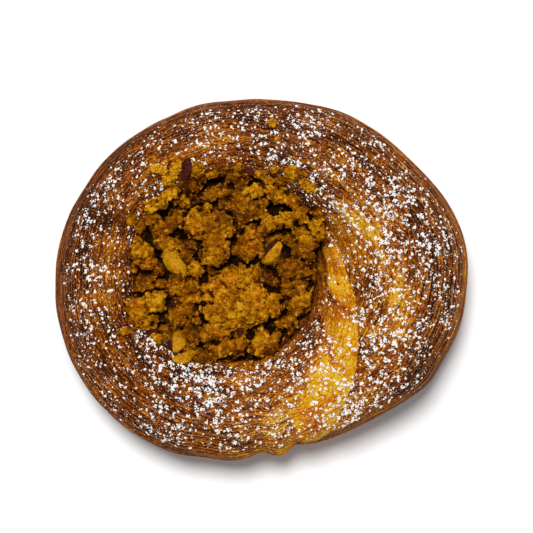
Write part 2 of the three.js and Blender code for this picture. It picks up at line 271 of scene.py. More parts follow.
def any_axis(random):
    axis = random.normal(size=3)
    return axis / np.linalg.norm(axis)


def in_frame(points):
    """Points in mm round the middle of the well, as metres in the shared frame."""
    return (np.asarray(points, float) + (WELL_X, WELL_Y, 0)) * MM


def new_mesh(name, points, faces):
    mesh = bpy.data.meshes.new(name)
    mesh.from_pydata(points.tolist(), [], faces)
    mesh.update()
    mesh.validate()
    return mesh


def new_piece(name, mesh, material=None):
    piece = bpy.data.objects.new(name, mesh)
    bpy.context.scene.collection.objects.link(piece)
    mesh.shade_smooth()
    if material:
        mesh.materials.clear()
        mesh.materials.append(material)
    return piece


def give_values(mesh, name, values):
    """A number for each vertex, or one for all of them, for the material or the scattering to read."""
    layer = mesh.attributes.new(name, "FLOAT", "POINT")
    numbers = np.broadcast_to(np.asarray(values, np.float32), len(mesh.vertices))
    layer.data.foreach_set("value", np.ascontiguousarray(numbers))


def values_of(mesh, name):
    out = np.empty(len(mesh.vertices))
    mesh.attributes[name].data.foreach_get("value", out)
    return out


def drop_values(mesh, names):
    for name in names:
        if name in mesh.attributes:
            mesh.attributes.remove(mesh.attributes[name])


def baked(piece):
    """A piece's mesh with its modifiers made real, and the modifiers and empty slots taken off."""
    graph = bpy.context.evaluated_depsgraph_get()
    seen = piece.evaluated_get(graph)
    mesh = bpy.data.meshes.new_from_object(seen, preserve_all_data_layers=True, depsgraph=graph)
    for slot in reversed(range(len(mesh.materials))):
        if mesh.materials[slot] is None:
            mesh.materials.pop(index=slot)
    piece.modifiers.clear()
    piece.data = mesh
    return mesh


def vertices_of(mesh):
    out = np.empty(len(mesh.vertices) * 3)
    mesh.vertices.foreach_get("co", out)
    return out.reshape(-1, 3)


def normals_of(mesh):
    out = np.empty(len(mesh.vertices) * 3)
    mesh.vertex_normals.foreach_get("vector", out)
    return out.reshape(-1, 3)


def found(name):
    piece = bpy.data.objects.get(name)
    if piece is None:
        raise RuntimeError(f"the piece {name} has to be made first")
    return piece


def ready(piece, slot, *nodes):
    """Makes a finished piece part of the danish."""
    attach(piece, "root")
    if nodes:
        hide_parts(*nodes)


# ------------------------------------------------------------------ nodes

class Wire:
    """A number's socket in a node tree, which can be written into formulas."""

    def __init__(self, bench, socket):
        self.bench, self.socket = bench, socket

    def _math(self, operation, a, b):
        return self.bench.make("ShaderNodeMath", {"operation": operation}, {0: a, 1: b})["Value"]

    def __add__(self, other):
        return self._math("ADD", self, other)

    __radd__ = __add__

    def __sub__(self, other):
        return self._math("SUBTRACT", self, other)

    def __rsub__(self, other):
        return self._math("SUBTRACT", other, self)

    def __mul__(self, other):
        return self._math("MULTIPLY", self, other)

    __rmul__ = __mul__

    def __rtruediv__(self, other):
        return self._math("DIVIDE", other, self)

    def __pow__(self, other):
        return self._math("POWER", self, other)

    def between(self, low, high):
        """0 at low and 1 at high, and never outside."""
        sockets = {"Value": self, "From Min": low, "From Max": high}
        return self.bench.make("ShaderNodeMapRange", {"clamp": True}, sockets)["Result"]


class Made:
    """A node, whose outputs are wires by their name."""

    def __init__(self, bench, node):
        self.bench, self.node = bench, node

    def __getitem__(self, name):
        return Wire(self.bench, self.bench.socket(self.node.outputs, name))


class Bench:
    """A node tree in which nodes are made and joined."""

    def __init__(self, tree):
        self.tree = tree

    @staticmethod
    def socket(sockets, name):
        if isinstance(name, int):
            return sockets[name]
        for socket in sockets:
            if socket.identifier == name:
                return socket
        return next(s for s in sockets if s.name == name and s.enabled)

    def make(self, kind, settings=None, sockets=None):
        node = self.tree.nodes.new(kind)
        for name, value in (settings or {}).items():
            if name == "stops":
                self.set_stops(node.color_ramp, value)
            else:
                setattr(node, name, value)
        for name, value in (sockets or {}).items():
            socket = self.socket(node.inputs, name)
            if isinstance(value, Wire):
                self.tree.links.new(value.socket, socket)
            else:
                socket.default_value = value
        return Made(self, node)

    @staticmethod
    def set_stops(ramp, stops):
        while len(ramp.elements) < len(stops):
            ramp.elements.new(0.5)
        for element, (place, colour) in zip(ramp.elements, stops):
            element.position = place
            element.color = (*colour[:3], 1)

    def ramp(self, value, stops):
        return self.make("ShaderNodeValToRGB", {"stops": stops}, {"Fac": value})["Color"]

    def mix(self, share, a, b, blend="MIX"):
        settings = {"data_type": "RGBA", "blend_type": blend, "clamp_factor": True}
        sockets = {"Factor_Float": share, "A_Color": a, "B_Color": b}
        return self.make("ShaderNodeMix", settings, sockets)["Result_Color"]

    def below(self, a, b):
        """1 where a is less than b, and 0 elsewhere."""
        return self.make("ShaderNodeMath", {"operation": "LESS_THAN"}, {0: a, 1: b})["Value"]

    def attribute(self, name):
        return self.make("ShaderNodeAttribute", {"attribute_name": name})["Fac"]

    def place(self):
        return self.make("ShaderNodeTexCoord")["Object"]

    def noise(self, vector, scale, detail=2.0, roughness=0.55, distortion=0.0):
        sockets = {"Vector": vector, "Scale": scale, "Detail": detail, "Roughness": roughness}
        return self.make("ShaderNodeTexNoise", {}, sockets | {"Distortion": distortion})["Fac"]

    def cells(self, sockets):
        return self.make("ShaderNodeTexVoronoi", {"feature": "F1"}, sockets)

    def stretched(self, vector, scale):
        return self.make("ShaderNodeMapping", {}, {"Vector": vector, "Scale": scale})["Vector"]

    def bump(self, height, strength, distance):
        sockets = {"Strength": strength, "Distance": distance, "Height": height}
        return self.make("ShaderNodeBump", {}, sockets)["Normal"]

    def vector(self, operation, a, b):
        return self.make("ShaderNodeVectorMath", {"operation": operation}, {0: a, 1: b})["Vector"]

    def scaled(self, vector, by):
        sockets = {0: vector, "Scale": by}
        return self.make("ShaderNodeVectorMath", {"operation": "SCALE"}, sockets)["Vector"]

    def random(self, kind, seed, low, high):
        """A random number for each point, or three of them where the kind is FLOAT_VECTOR."""
        tail = "_001" if kind == "FLOAT" else ""
        sockets = {"Min" + tail: low, "Max" + tail: high, "Seed": seed}
        return self.make("FunctionNodeRandomValue", {"data_type": kind}, sockets)["Value" + tail]


def new_material(name):
    """An empty material, its bench, and a function that finishes it."""
    material = bpy.data.materials.new(name)
    material.use_nodes = True
    material.node_tree.nodes.clear()
    bench = Bench(material.node_tree)

    def finish(sockets):
        shader = bench.make("ShaderNodeBsdfPrincipled", {}, sockets)
        bench.make("ShaderNodeOutputMaterial", {}, {"Surface": shader["BSDF"]})
        return material

    return bench, finish


def linear(red, green, blue):
    """A colour as seen on a screen, from 0 to 255, as the linear colour that materials use."""
    shares = (red / 255, green / 255, blue / 255)
    return tuple(((c + 0.055) / 1.055) ** 2.4 if c > 0.04 else c / 12.92 for c in shares)


# ------------------------------------------------------------------ materials

# Noises along the strip: repeats across and along it, detail, roughness, distortion.
STRIP_NOISES = [
    ((42, 24, 1), 2.0, 0.5, 0.5),
    ((105, 75, 1), 3.0, 0.6, 1.1),
    ((240, 170, 1), 3.0, 0.6, 1.1),
    ((62, 36, 1), 2.0, 0.55, 0.9),
    ((80, 50, 1), 2.0, 0.55, 0.9),
    ((170, 400, 1), 3.0, 0.65, 0.4),
]
CRUST_VALUES = ("bake", "crest", "pale", "wall", "lip")


def thin_lines(noise):
    """1 along the wavering lines where a noise crosses its middle, and 0 beside them."""
    return 1 - ((noise - 0.5) * (noise - 0.5)).between(0.00003, 0.0007)


def crust_material(look):
    """Baked dough: pale where it was not brushed with egg, and amber to mahogany where it was."""
    bench, finish = new_material("baked_dough")
    bake, crest, pale, wall, lip = (bench.attribute(name) for name in CRUST_VALUES)
    strip = bench.make("ShaderNodeUVMap", {"uv_map": "strip"})["UV"]
    bands, streaks, threads, seams, edges, flakes = (
        bench.noise(bench.stretched(strip, scale), 1.0, *rest) for scale, *rest in STRIP_NOISES)
    place = bench.place()
    blotches = bench.noise(place, 180.0, 3.0, 0.55)
    fine = bench.noise(place, 1500.0, 3.0, 0.6)
    # Thin dark lines along the layers, and thin lighter lines that are partly a paler bake and partly painted
    # highlight.
    dark_lines, pale_and_highlight_lines = thin_lines(seams), thin_lines(edges)
    lines = (bands - 0.5) * 0.4 + (streaks - 0.5) * 0.3 + (threads - 0.5) * 0.3
    lines = lines + (streaks.between(0.4, 0.6) - 0.5) * 0.2 + (threads.between(0.42, 0.58) - 0.5) * 0.2
    lines = (lines + dark_lines * 0.36 - pale_and_highlight_lines * 0.36) * (1 - wall * 0.55)
    lively = 1 - pale * 0.5
    tone = bake + lines * (0.4 + bake * 0.7) * lively + (blotches - 0.5) * (0.5 + pale * 0.3)
    tone = tone + ((flakes - 0.5) * 0.44 + (flakes.between(0.44, 0.56) - 0.5) * 0.14) * lively
    tone = tone + (fine.between(0.38, 0.62) - 0.5) * 0.18
    crust = bench.ramp(tone, [
        (0.0, look.straw_colour),
        (0.13, look.pale_colour),
        (0.26, look.gold_colour),
        (0.42, look.amber_colour),
        (0.62, look.brown_colour),
        (0.8, look.dark_colour),
        (1.0, look.deep_colour),
    ])
    # A greyish painted sheen, the crest colour, goes on the crests and along the layers' edges.
    painted_sheen = crest.between(0.6, 0.95) * threads.between(0.52, 0.66) * (1 - pale) * 0.2 + lip * 0.62
    crests = bench.mix(painted_sheen, crust, look.crest_sheen_colour)
    # Painted shade darkens the grooves between the crests, less on the pale dough and on the walls.
    shade = (1 - crest).between(0.35, 1) * (1 - pale * 0.7) * (0.84 - wall * 0.36)
    colour = bench.mix(shade, crests, look.groove_shade_colour, "MULTIPLY")
    rough = 0.42 + (1 - crest) * 0.16 + pale * 0.15 + (fine - 0.5) * 0.3
    relief = (threads * 0.6 + streaks * 0.8 - dark_lines * 0.3) * (1 - pale * 0.5) + fine * 0.4 + flakes * 0.5
    normal = bench.bump(relief, 0.8, 0.0005)
    return finish({
        "Base Color": colour,
        "Roughness": rough,
        "Normal": normal,
        "Specular IOR Level": 0.02,
        "Coat Weight": (1 - pale) * crest.between(0.3, 0.9) * 0.16,
        "Coat Roughness": 0.22,
        "Coat IOR": 1.22,
    })


def crumble_material(look):
    """Crumble: golden grains, with painted shade darkening the gaps between clumps and the pits between
    grains.
    """
    bench, finish = new_material("golden_crumble")
    place = bench.place()
    deep, pit, chance = bench.attribute("depth"), bench.attribute("pit"), bench.attribute("chance")
    clump = bench.attribute("clump_tone")
    cells = bench.cells({"Vector": place, "Scale": 800.0, "Randomness": 1.0})
    grains = bench.make("ShaderNodeSeparateColor", {}, {"Color": cells["Color"]})["Red"]
    wide = bench.noise(place, 170.0, 2.0, 0.5)
    warmth = bench.noise(place, 120.0, 2.0, 0.5, 0.4)
    fine = bench.noise(place, 1500.0, 3.0, 0.65)
    tone = (clump - 0.5) * 1.6 + 0.5 + (chance - 0.5) * 0.3 + chance.between(0.9, 1) * 0.2
    # Painted shade: deeper points and pits are darker.
    tone = tone + (grains - 0.5) * 0.34 + (wide - 0.5) * 0.8 + (fine - 0.5) * 0.9 - deep * 0.3 - pit * 0.55
    baked_colour = bench.ramp(tone, [
        (0.0, look.dark_colour),
        (0.3, look.brown_colour),
        (0.55, look.gold_colour),
        (0.78, look.bright_colour),
        (1.0, look.yellow_colour),
    ])
    warmer = bench.mix(warmth.between(0.53, 0.66) * 0.6, baked_colour, look.warm_colour, "MULTIPLY")
    # Painted highlights: pale glints on a few grains.
    glinted = bench.mix(grains.between(0.86, 0.9) * fine.between(0.5, 0.6) * 0.5, warmer, look.fleck_glint_colour)
    # Painted shade in the pits and at the bottom of the gaps.
    pit_shaded = bench.mix(pit.between(0.35, 1) * 0.6, glinted, look.gap_shade_colour)
    colour = bench.mix(deep.between(0.15, 0.9) * 0.94, pit_shaded, look.gap_shade_colour)
    relief = cells["Distance"] * -0.5 + fine * 0.8
    normal = bench.bump(relief, 0.9, 0.0005)
    return finish({
        "Base Color": colour,
        "Roughness": 0.62 + (fine - 0.5) * 0.5,
        "Normal": normal,
        "Specular IOR Level": 0.05,
    })


def nut_material(look):
    """Toasted nut and apple pieces: smooth yellow flesh, with dark brown skin on one side."""
    bench, finish = new_material("nut_and_apple")
    place = bench.place()
    skin = bench.attribute("skin")
    soft = bench.noise(place, 300.0, 2.0, 0.5)
    fine = bench.noise(place, 1400.0, 3.0, 0.6)
    flesh = bench.ramp(soft * 0.5 + fine * 0.5, [
        (0.38, look.flesh_dark_colour),
        (0.48, look.flesh_colour),
        (0.62, look.flesh_bright_colour),
    ])
    hide = bench.ramp(fine, [(0.3, look.skin_dark_colour), (0.7, look.skin_colour)])
    colour = bench.mix((skin + (fine - 0.5) * 0.4).between(0.42, 0.58), flesh, hide)
    normal = bench.bump(fine + soft, 0.7, 0.0004)
    return finish({
        "Base Color": colour,
        "Roughness": 0.5 + (fine - 0.5) * 0.3,
        "Normal": normal,
        "Specular IOR Level": 0.06,
    })


def sugar_material(look):
    """Icing sugar: fine white powder in small clots."""
    bench, finish = new_material("sugar_powder")
    fine = bench.noise(bench.place(), 3000.0, 2.0, 0.6)
    colour = bench.ramp(fine, [(0.3, look.shade_colour), (0.6, look.colour)])
    normal = bench.bump(fine, 0.5, 0.0001)
    return finish({
        "Base Color": colour,
        "Roughness": 0.85 + (fine - 0.5) * 0.2,
        "Normal": normal,
        "Specular IOR Level": 0.25,
    })


# ------------------------------------------------------------------ the dough

def layer_edges(look):
    """Where each layer of the dough begins, along a section of the nominal length."""
    random = np.random.default_rng(7)
    steps = look.layer_pitch / MM * (0.45 + 1.1 * random.random(160))
    steps[:34] = 1.55 * (0.5 + random.random(34))  # none as wide on the outer side
    edges = np.concatenate([[-6], -6 + np.cumsum(steps)])
    return edges[edges < NOMINAL_ARC + 8]


def layered(q, turn, edges):
    """Relief from 0, a groove, to 1, a crest, the line along the crest, the layer's tone, and its height."""
    outer = 1 - smooth(q, *SIDE_ENDS)
    finer = 0.35 * soft_noise(turn / 8, q / 5, 5) * (1 - 0.4 * outer)
    outermost = (0.8 * soft_noise(turn / 50, q / 9, 61) + 0.5 * soft_noise(turn / 13, q / 7, 89)) * outer
    wander = 0.9 * soft_noise(turn / 26, q / 14, 3) + finer
    wander = wander + outermost
    moved = q + wander
    k = np.clip(np.searchsorted(edges, moved, side="right") - 1, 0, len(edges) - 2)
    low, high = edges[k], edges[k + 1]
    p = np.clip((moved - low) / (high - low), 0, 1)
    round_top = np.sqrt(np.clip(1 - np.abs(2 * p - 1) ** 2.2, 0, 1)) ** (1 + outer)
    lean = 1 - 0.35 * p
    height = 0.45 + 0.55 * lattice(k, k * 0, 11) + 0.3 * soft_noise(turn / 17, k * 3.7, 13)
    height = height + 0.6 * outer * soft_noise(turn / 9, k * 2.3, 67)
    tone = 2 * lattice(k, k * 0 + 5, 17) - 1 + 0.9 * soft_noise(turn / 30, k * 5.1, 19)
    ridge = np.exp(-(((p - 0.45) / (0.17 + 0.1 * outer)) ** 2))
    return round_top * lean, ridge, tone, height * np.clip((high - low) / 1.6, 0.5, 1.3)


def line_places():
    """Where the lines lie along a section, from 0 at the outer foot to 1."""
    even = np.linspace(0, 1, 400)
    closeness = np.interp(even, LINE_PLACES, LINE_CLOSENESS)
    climb = np.concatenate([[0], np.cumsum((closeness[1:] + closeness[:-1]) / 2)])
    return np.interp(np.linspace(0, 1, LINE_COUNT), climb / climb[-1], even)


def bare_strip():
    """The strip without its layers, as tables with a row for each station and a column for each line."""
    places = line_places()
    turns = np.linspace(0, TAIL_TURN, STATION_COUNT)
    s = SimpleNamespace()
    s.r, s.z, s.nr, s.nz, arc = np.array([section(t, places) for t in turns]).transpose(1, 0, 2)
    s.turn = np.repeat(turns[:, None], LINE_COUNT, 1)
    length = arc[:, -1:]
    cut_length = np.interp(CUT_TURN, turns, length[:, 0])
    s.q = arc / np.where(turns[:, None] > CUT_TURN, cut_length, length) * NOMINAL_ARC
    s.bearing = np.radians(START_BEARING - s.turn)
    s.x, s.y = s.r * np.cos(s.bearing), s.r * np.sin(s.bearing)
    return s


def pale_share(s):
    """1 where the start strand was not brushed with egg, with a ragged edge."""
    pale_from = np.interp(s.turn, *zip(*PALE_EDGE))
    ragged = 1.6 * rough_noise(s.turn / 9, s.q / 5, 23) + 0.8 * s.tone
    pale = smooth(s.r + ragged, pale_from - 2.6, pale_from + 2.8)
    return pale * smooth(s.turn, 7, 19) * (s.turn < 101) * smooth(s.nz, -0.2, 0.2)


def layer_relief(look, s):
    """How far the layers stand out, and the broad steps that they make together."""
    steps = 0.45 * rough_noise(s.turn / 40, s.q / 7.5, 29, 2)
    wall = 1 + 0.8 * smooth(s.q, 12, 20) * (1 - smooth(s.q, *SIDE_ENDS)) - 0.1 * (1 - smooth(s.q, 8, 16))
    relief = look.layer_height / MM * (s.crest - 0.55) * s.height * wall * (1 - 0.72 * s.pale)
    return relief + steps * wall * (1 - 0.6 * s.pale)


def crease(s, relief):
    """The relief with the short creases cut into it, and a mark where they are, along which shade is painted.
    """
    marks = np.zeros_like(s.x)
    for path, half, depth in CREASES:
        away = distance_to_path(s.x, s.y, path)
        mark = np.exp(-((away / half) ** 2)) * (s.turn < CREASED_TO)
        relief = relief - depth * mark
        marks = np.maximum(marks, mark)
    return relief, marks


def shape_strip(look, s):
    """Moves the strip's points out and in by its layers, folds and creases."""
    s.crest, s.ridge, s.tone, s.height = layered(s.q, s.turn, layer_edges(look))
    s.pale = pale_share(s)
    relief = layer_relief(look, s)
    # The layers gape along the tail, and elsewhere they close up in places.
    s.tail = smooth(s.turn, 320, 372)
    gape = np.clip(1.5 * s.height, 0.3, 1) * (0.72 + 0.28 * s.tail)
    s.parted = 1 - (1 - gape) * (1 - smooth(s.q, *EDGES_END))
    s.crest = 0.62 + (s.crest - 0.62) * s.parted
    bent = s.q + 1.6 * soft_noise(s.turn / 14, s.q / 11, 97)
    s.folds = rough_noise(s.turn / 34, bent / 2.7, 83, 2) * smooth(s.q, 36, 46) * (1 - s.pale)
    relief = relief + 0.42 * s.folds
    relief = relief + 0.25 * rough_noise(s.turn / 5, s.q / 5, 37) * s.pale
    relief, s.marks = crease(s, relief)
    # The start swells against the lap.
    lap = along_strip(INNER, np.minimum(s.turn + 360, TAIL_TURN))
    swell = smooth(s.r, lap - 6, lap) * smooth(s.turn, 22, 42) * (s.turn < 96) * smooth(s.nz, 0, 0.6)
    relief = relief + 1.9 * swell
    relief = relief * smooth(s.z, 0.3, 3)
    s.r, s.z = s.r + s.nr * relief, np.maximum(s.z + s.nz * relief, 0)
    # Under the lap the base of the start lies a little higher than the tail's.
    s.z = np.maximum(s.z, 0.15 * (1 - smooth(s.turn, 60, TUCK_TURN)) + 0.05 * (s.turn < TUCK_TURN))


def bake_of(look, s):
    """How dark each point is baked, from 0, raw, to 1."""
    spots = np.zeros_like(s.x)
    for x, y, radius, change in BAKE_SPOTS:
        spots += change * np.exp(-(((s.x - x) / radius) ** 2 + ((s.y - y) / radius) ** 2) * 1.1)
    spots = spots * smooth(s.nz, -0.6, 0.1)  # none on the underside
    place = s.q / NOMINAL_ARC
    foot = 0.1 * (1 - smooth(place, 0.03, 0.2)) + 0.1 * smooth(place, 0.8, 0.95)
    bake = USUAL_BAKE + spots - foot + 0.15 * rough_noise(s.turn / 18, s.q / 9, 41)
    bake = bake + look.streakiness * s.tone
    bake = bake + 0.05 * (s.crest - 0.5) + 0.1 * smooth(place, 0.66, 0.8) * (s.turn > 120)
    # The lap's inner edge stays lighter.
    from_edge = s.r - along_strip(INNER, s.turn)
    along_lap = smooth(s.turn, 352, 374) * (1 - smooth(s.turn, 416, 434))
    bake = bake - 0.24 * (1 - smooth(from_edge, 6.5, 12)) * along_lap
    unbrushed = 0.16 + 0.2 * rough_noise(s.turn / 8, s.q / 5, 43) + 0.05 * s.tone + 0.06 * smooth(s.r, 42, 51)
    bake = bake * (1 - s.pale) + s.pale * unbrushed
    # Painted shade along the creases.
    bake = bake + 0.35 * s.marks - 0.16 * s.folds
    bake = bake - 0.04 * s.side
    bake = bake + 0.14 * s.side * rough_noise(s.turn / 14, s.q / 9, 71)
    # Painted shade in the gaps between the layers' edges on the shoulder, with lighter colour along the edges
    # themselves.
    shoulder = smooth(s.q + 7 * s.tail, 19, 29) * (1 - smooth(s.q, 36, 50)) * (1 - s.pale)
    return bake + 0.55 * s.parted * (0.42 - s.ridge) * shoulder


def lip_sheen_of(s):
    """1 along the layers' edges on the shoulder, where a greyish sheen is painted."""
    shoulder = 0.12 + 0.88 * smooth(s.q + 7 * s.tail, 16, 27)
    lip = s.ridge * (1 - 0.8 * smooth(s.q, *EDGES_END)) * shoulder * s.parted
    lip = lip * np.clip(0.75 + 0.7 * rough_noise(s.turn / 12, s.q / 3, 47), 0, 1)
    return lip * (1 - s.pale)


def dough_surface(look):
    """The strip's points, with what its material and the sugar need to know of each."""
    s = bare_strip()
    shape_strip(look, s)
    s.side = (1 - smooth(s.nz, 0.1, 0.55)) * (s.q < NOMINAL_ARC / 2)
    known = {"bake": bake_of(look, s), "crest": s.crest, "pale": s.pale, "wall": s.side, "lip": lip_sheen_of(s)}
    # The tail's end is torn a little unevenly.
    torn = 2.6 * rough_noise(s.z / 6, s.z * 0 + 3, 101, 2)
    s.bearing = s.bearing + np.radians(torn) * smooth(s.turn, 436, TAIL_TURN)
    points = np.stack([s.r * np.cos(s.bearing), s.r * np.sin(s.bearing), s.z], -1)
    return points, known, s


def sugar_share(x, y, up):
    """How thickly the icing sugar lies on the dough: in drifts, and in clots within them."""
    share = 0.9 + 0.75 * rough_noise(x / 7, y / 7, 53, 3)
    for sx, sy, wide, deep, change in SUGAR_PATCHES:
        share = share + change * np.exp(-(((x - sx) / wide) ** 2 + ((y - sy) / deep) ** 2))
    return np.clip(share, 0.04, 2) * smooth(up, 0.2, 0.8)


def strip_faces():
    """Quads along the strip, and at each end a fan round a point of its own, which come after the strip's."""
    row = np.arange(STATION_COUNT - 1)[:, None] * LINE_COUNT
    j = np.arange(LINE_COUNT)[None, :]
    k = (j + 1) % LINE_COUNT
    quads = np.stack([row + j, row + k, row + LINE_COUNT + k, row + LINE_COUNT + j], -1).reshape(-1, 4)
    first = STATION_COUNT * LINE_COUNT
    base = first - LINE_COUNT
    start_fan = [(first, (i + 1) % LINE_COUNT, i) for i in range(LINE_COUNT)]
    end_fan = [(first + 1, base + i, base + (i + 1) % LINE_COUNT) for i in range(LINE_COUNT)]
    return quads.tolist() + start_fan + end_fan


def well_floor(start):
    """A round plate inside the coil: its points, and its faces with points numbered from start."""
    angle = np.linspace(0, 2 * math.pi, FLOOR_SIDES, endpoint=False)
    ring = np.stack([np.cos(angle), np.sin(angle)], -1)
    points = [np.column_stack([ring * radius, np.full(FLOOR_SIDES, z)]) for radius, z in FLOOR_RINGS]
    points = np.concatenate(points + [[(0, 0, FLOOR_RINGS[0][1]), (0, 0, WELL_FLOOR)]])
    under, over = start + 3 * FLOOR_SIDES, start + 3 * FLOOR_SIDES + 1
    faces = []
    for i in range(FLOOR_SIDES):
        n = (i + 1) % FLOOR_SIDES
        faces.append((under, start + n, start + i))
        for level in (0, 1):
            low, high = start + level * FLOOR_SIDES, start + (level + 1) * FLOOR_SIDES
            faces.append((low + i, low + n, high + n, high + i))
        faces.append((over, start + 2 * FLOOR_SIDES + i, start + 2 * FLOOR_SIDES + n))
    return points, faces


def give_strip_map(mesh, s, plate):
    """A map of the strip for its material: across it and along it, and flat on the well's floor."""
    uv = np.stack([s.q.ravel() / NOMINAL_ARC, s.turn.ravel() / TAIL_TURN], -1)
    flat = plate[:, :2] / (NOMINAL_ARC, 3 * NOMINAL_ARC)
    uv = np.concatenate([uv, np.full((2, 2), 0.5), flat])
    corner = np.empty(len(mesh.loops), np.int64)
    mesh.loops.foreach_get("vertex_index", corner)
    mesh.uv_layers.new(name="strip").data.foreach_set("uv", uv[corner].astype(np.float32).ravel())


def make_dough(look):
    points, known, s = dough_surface(look)
    hubs = [
        points[0].mean(0) * (1, 1, 0) + (0, 0, 8),
        points[-1].mean(0) * (1, 1, 0) + (0, 0, 6),
    ]
    verts = np.concatenate([points.reshape(-1, 3), hubs])
    plate, plate_faces = well_floor(len(verts))
    verts = np.concatenate([verts, plate])
    mesh = new_mesh("dough", in_frame(verts), strip_faces() + plate_faces)
    x, y = points[..., 0], points[..., 1]
    dusting = sugar_share(x, y, s.nz)
    dusting = dusting * smooth(np.hypot(x, y), 25.5, 28) * (1 - 0.2 * s.pale)
    for name, value in (known | {"dusting": dusting}).items():
        rest = np.full(len(hubs) + len(plate), FLOOR_VALUES.get(name, 0))
        give_values(mesh, name, np.concatenate([value.ravel(), rest]))
    give_strip_map(mesh, s, plate)
    return new_piece("dough", mesh, crust_material(look))


# ------------------------------------------------------------------ scattered grains

# Inputs of the trees: name, kind of socket, default.
GRAIN_INPUTS = [
    ("Closeness", "Float", 0.001), ("Density", "Float", 1.0), ("Least size", "Float", 0.0006),
    ("Largest size", "Float", 0.0014), ("Rarity of large", "Float", 2.0), ("Flatness", "Float", 0.3),
    ("Sink", "Float", 0.3), ("Dents", "Float", 0.5), ("Speck size", "Float", 0.0016),
    ("Keep surface", "Bool", False), ("Seed", "Int", 1), ("Material", "Material", None),
    ("Share", "String", "share"),
]
ROUGHEN_INPUTS = [
    ("Grain size", "Float", 0.0012), ("Grain height", "Float", 0.0004), ("Height", "Float", 0.0003),
    ("Lump size", "Float", 0.002), ("Material", "Material", None),
]


def new_tree(name, inputs):
    """A tree of nodes from geometry to geometry, its bench, and the node with its inputs."""
    tree = bpy.data.node_groups.new(name, "GeometryNodeTree")
    face = tree.interface
    face.new_socket("Geometry", in_out="INPUT", socket_type="NodeSocketGeometry")
    for label, kind, default in inputs:
        socket = face.new_socket(label, in_out="INPUT", socket_type="NodeSocket" + kind)
        if default is not None:
            socket.default_value = default
    face.new_socket("Geometry", in_out="OUTPUT", socket_type="NodeSocketGeometry")
    bench = Bench(tree)
    return tree, bench, bench.make("NodeGroupInput")


def hand_out(bench, given, geometry):
    """Makes every copy real, gives all of it the material, and ends the tree."""
    real = bench.make("GeometryNodeRealizeInstances", {}, {"Geometry": geometry})["Geometry"]
    sockets = {"Geometry": real, "Material": given["Material"]}
    dressed = bench.make("GeometryNodeSetMaterial", {}, sockets)["Geometry"]
    bench.make("NodeGroupOutput", {}, {"Geometry": dressed})


def strewn(bench, given, share, size):
    """Points strewn over the surface and sunk into it by a share of their size, and how each is turned."""
    points = bench.make("GeometryNodeDistributePointsOnFaces", {"distribute_method": "POISSON"}, {
        "Mesh": given["Geometry"],
        "Distance Min": given["Closeness"],
        "Density Max": given["Density"],
        "Density Factor": share,
        "Seed": given["Seed"],
    })
    shift = bench.scaled(points["Normal"], size * given["Sink"] * -1)
    moved = bench.make("GeometryNodeSetPosition", {}, {"Geometry": points["Points"], "Offset": shift})
    marked = bench.make("GeometryNodeStoreNamedAttribute", {"data_type": "FLOAT", "domain": "POINT"}, {
        "Geometry": moved["Geometry"],
        "Name": "chance",
        "Value": bench.random("FLOAT", 9, 0.0, 1.0),
    })
    return marked["Geometry"], points["Rotation"]


def in_speck(bench, given, share):
    """Whether a point lies in a round speck, of which there are more where the share is greater."""
    cell = bench.cells({"Scale": 1.0 / given["Speck size"]})
    chance = bench.make("ShaderNodeSeparateXYZ", {}, {"Vector": cell["Color"]})
    inside = bench.below(cell["Distance"], chance["X"] * 0.3 + share * 0.2)
    return inside * bench.below(chance["Y"], share * 1.3)


def grain_shape(bench, level):
    """A ball, or the plainest double pyramid at level 0."""
    if level:
        return bench.make("GeometryNodeMeshIcoSphere", {}, {"Radius": 1.0, "Subdivisions": level})["Mesh"]
    return bench.make("GeometryNodeMeshUVSphere", {}, {"Radius": 1.0, "Segments": 4, "Rings": 2})["Mesh"]


def grain_scale(bench, given, size):
    """How long, wide and high each grain is."""
    form = bench.random("FLOAT_VECTOR", 3, (0.65, 0.65, 0.7), (1.5, 1.5, 1.1))
    flat = bench.make("ShaderNodeCombineXYZ", {}, {"X": 1.0, "Y": 1.0, "Z": 1 - given["Flatness"]})
    return bench.scaled(bench.vector("MULTIPLY", form, flat["Vector"]), size)


def dented(bench, given, grains):
    """Each grain gets dents of its own from a noise in space."""
    largest = given["Largest size"]
    dents = bench.make("ShaderNodeTexNoise", {}, {"Scale": 0.9 / largest, "Detail": 1.0})["Color"]
    middle = bench.vector("SUBTRACT", dents, (0.5, 0.5, 0.5))
    shift = bench.scaled(middle, largest * given["Dents"] * 2)
    return bench.make("GeometryNodeSetPosition", {}, {"Geometry": grains, "Offset": shift})["Geometry"]


def grain_tree(name, level, in_specks=False):
    """Strews a surface with grains, each a dented ball of its own size, form and turn."""
    tree, bench, given = new_tree(name, GRAIN_INPUTS)
    named = bench.make("GeometryNodeInputNamedAttribute", {"data_type": "FLOAT"}, {"Name": given["Share"]})
    share = named["Attribute"]
    least, largest = given["Least size"], given["Largest size"]
    size = least + (largest - least) * bench.random("FLOAT", 5, 0.0, 1.0) ** given["Rarity of large"]
    points, rotation = strewn(bench, given, 1.0 if in_specks else share, size)
    turn = bench.random("FLOAT_VECTOR", 4, (-0.3, -0.3, 0.0), (0.3, 0.3, 6.28))
    spin = bench.make("FunctionNodeRotateRotation", {"rotation_space": "LOCAL"}, {
        "Rotation": rotation,
        "Rotate By": turn,
    })
    placed = bench.make("GeometryNodeInstanceOnPoints", {}, {
        "Points": points,
        "Selection": in_speck(bench, given, share) if in_specks else True,
        "Instance": grain_shape(bench, level),
        "Rotation": spin["Rotation"],
        "Scale": grain_scale(bench, given, size),
    })
    real = bench.make("GeometryNodeRealizeInstances", {}, {"Geometry": placed["Instances"]})
    surface = bench.make("GeometryNodeSwitch", {"input_type": "GEOMETRY"}, {
        "Switch": given["Keep surface"],
        "True": given["Geometry"],
    })
    both = bench.make("GeometryNodeJoinGeometry")
    for part in (dented(bench, given, real["Geometry"]), surface["Output"]):
        tree.links.new(part.socket, both.node.inputs[0])
    hand_out(bench, given, both["Geometry"])
    return tree


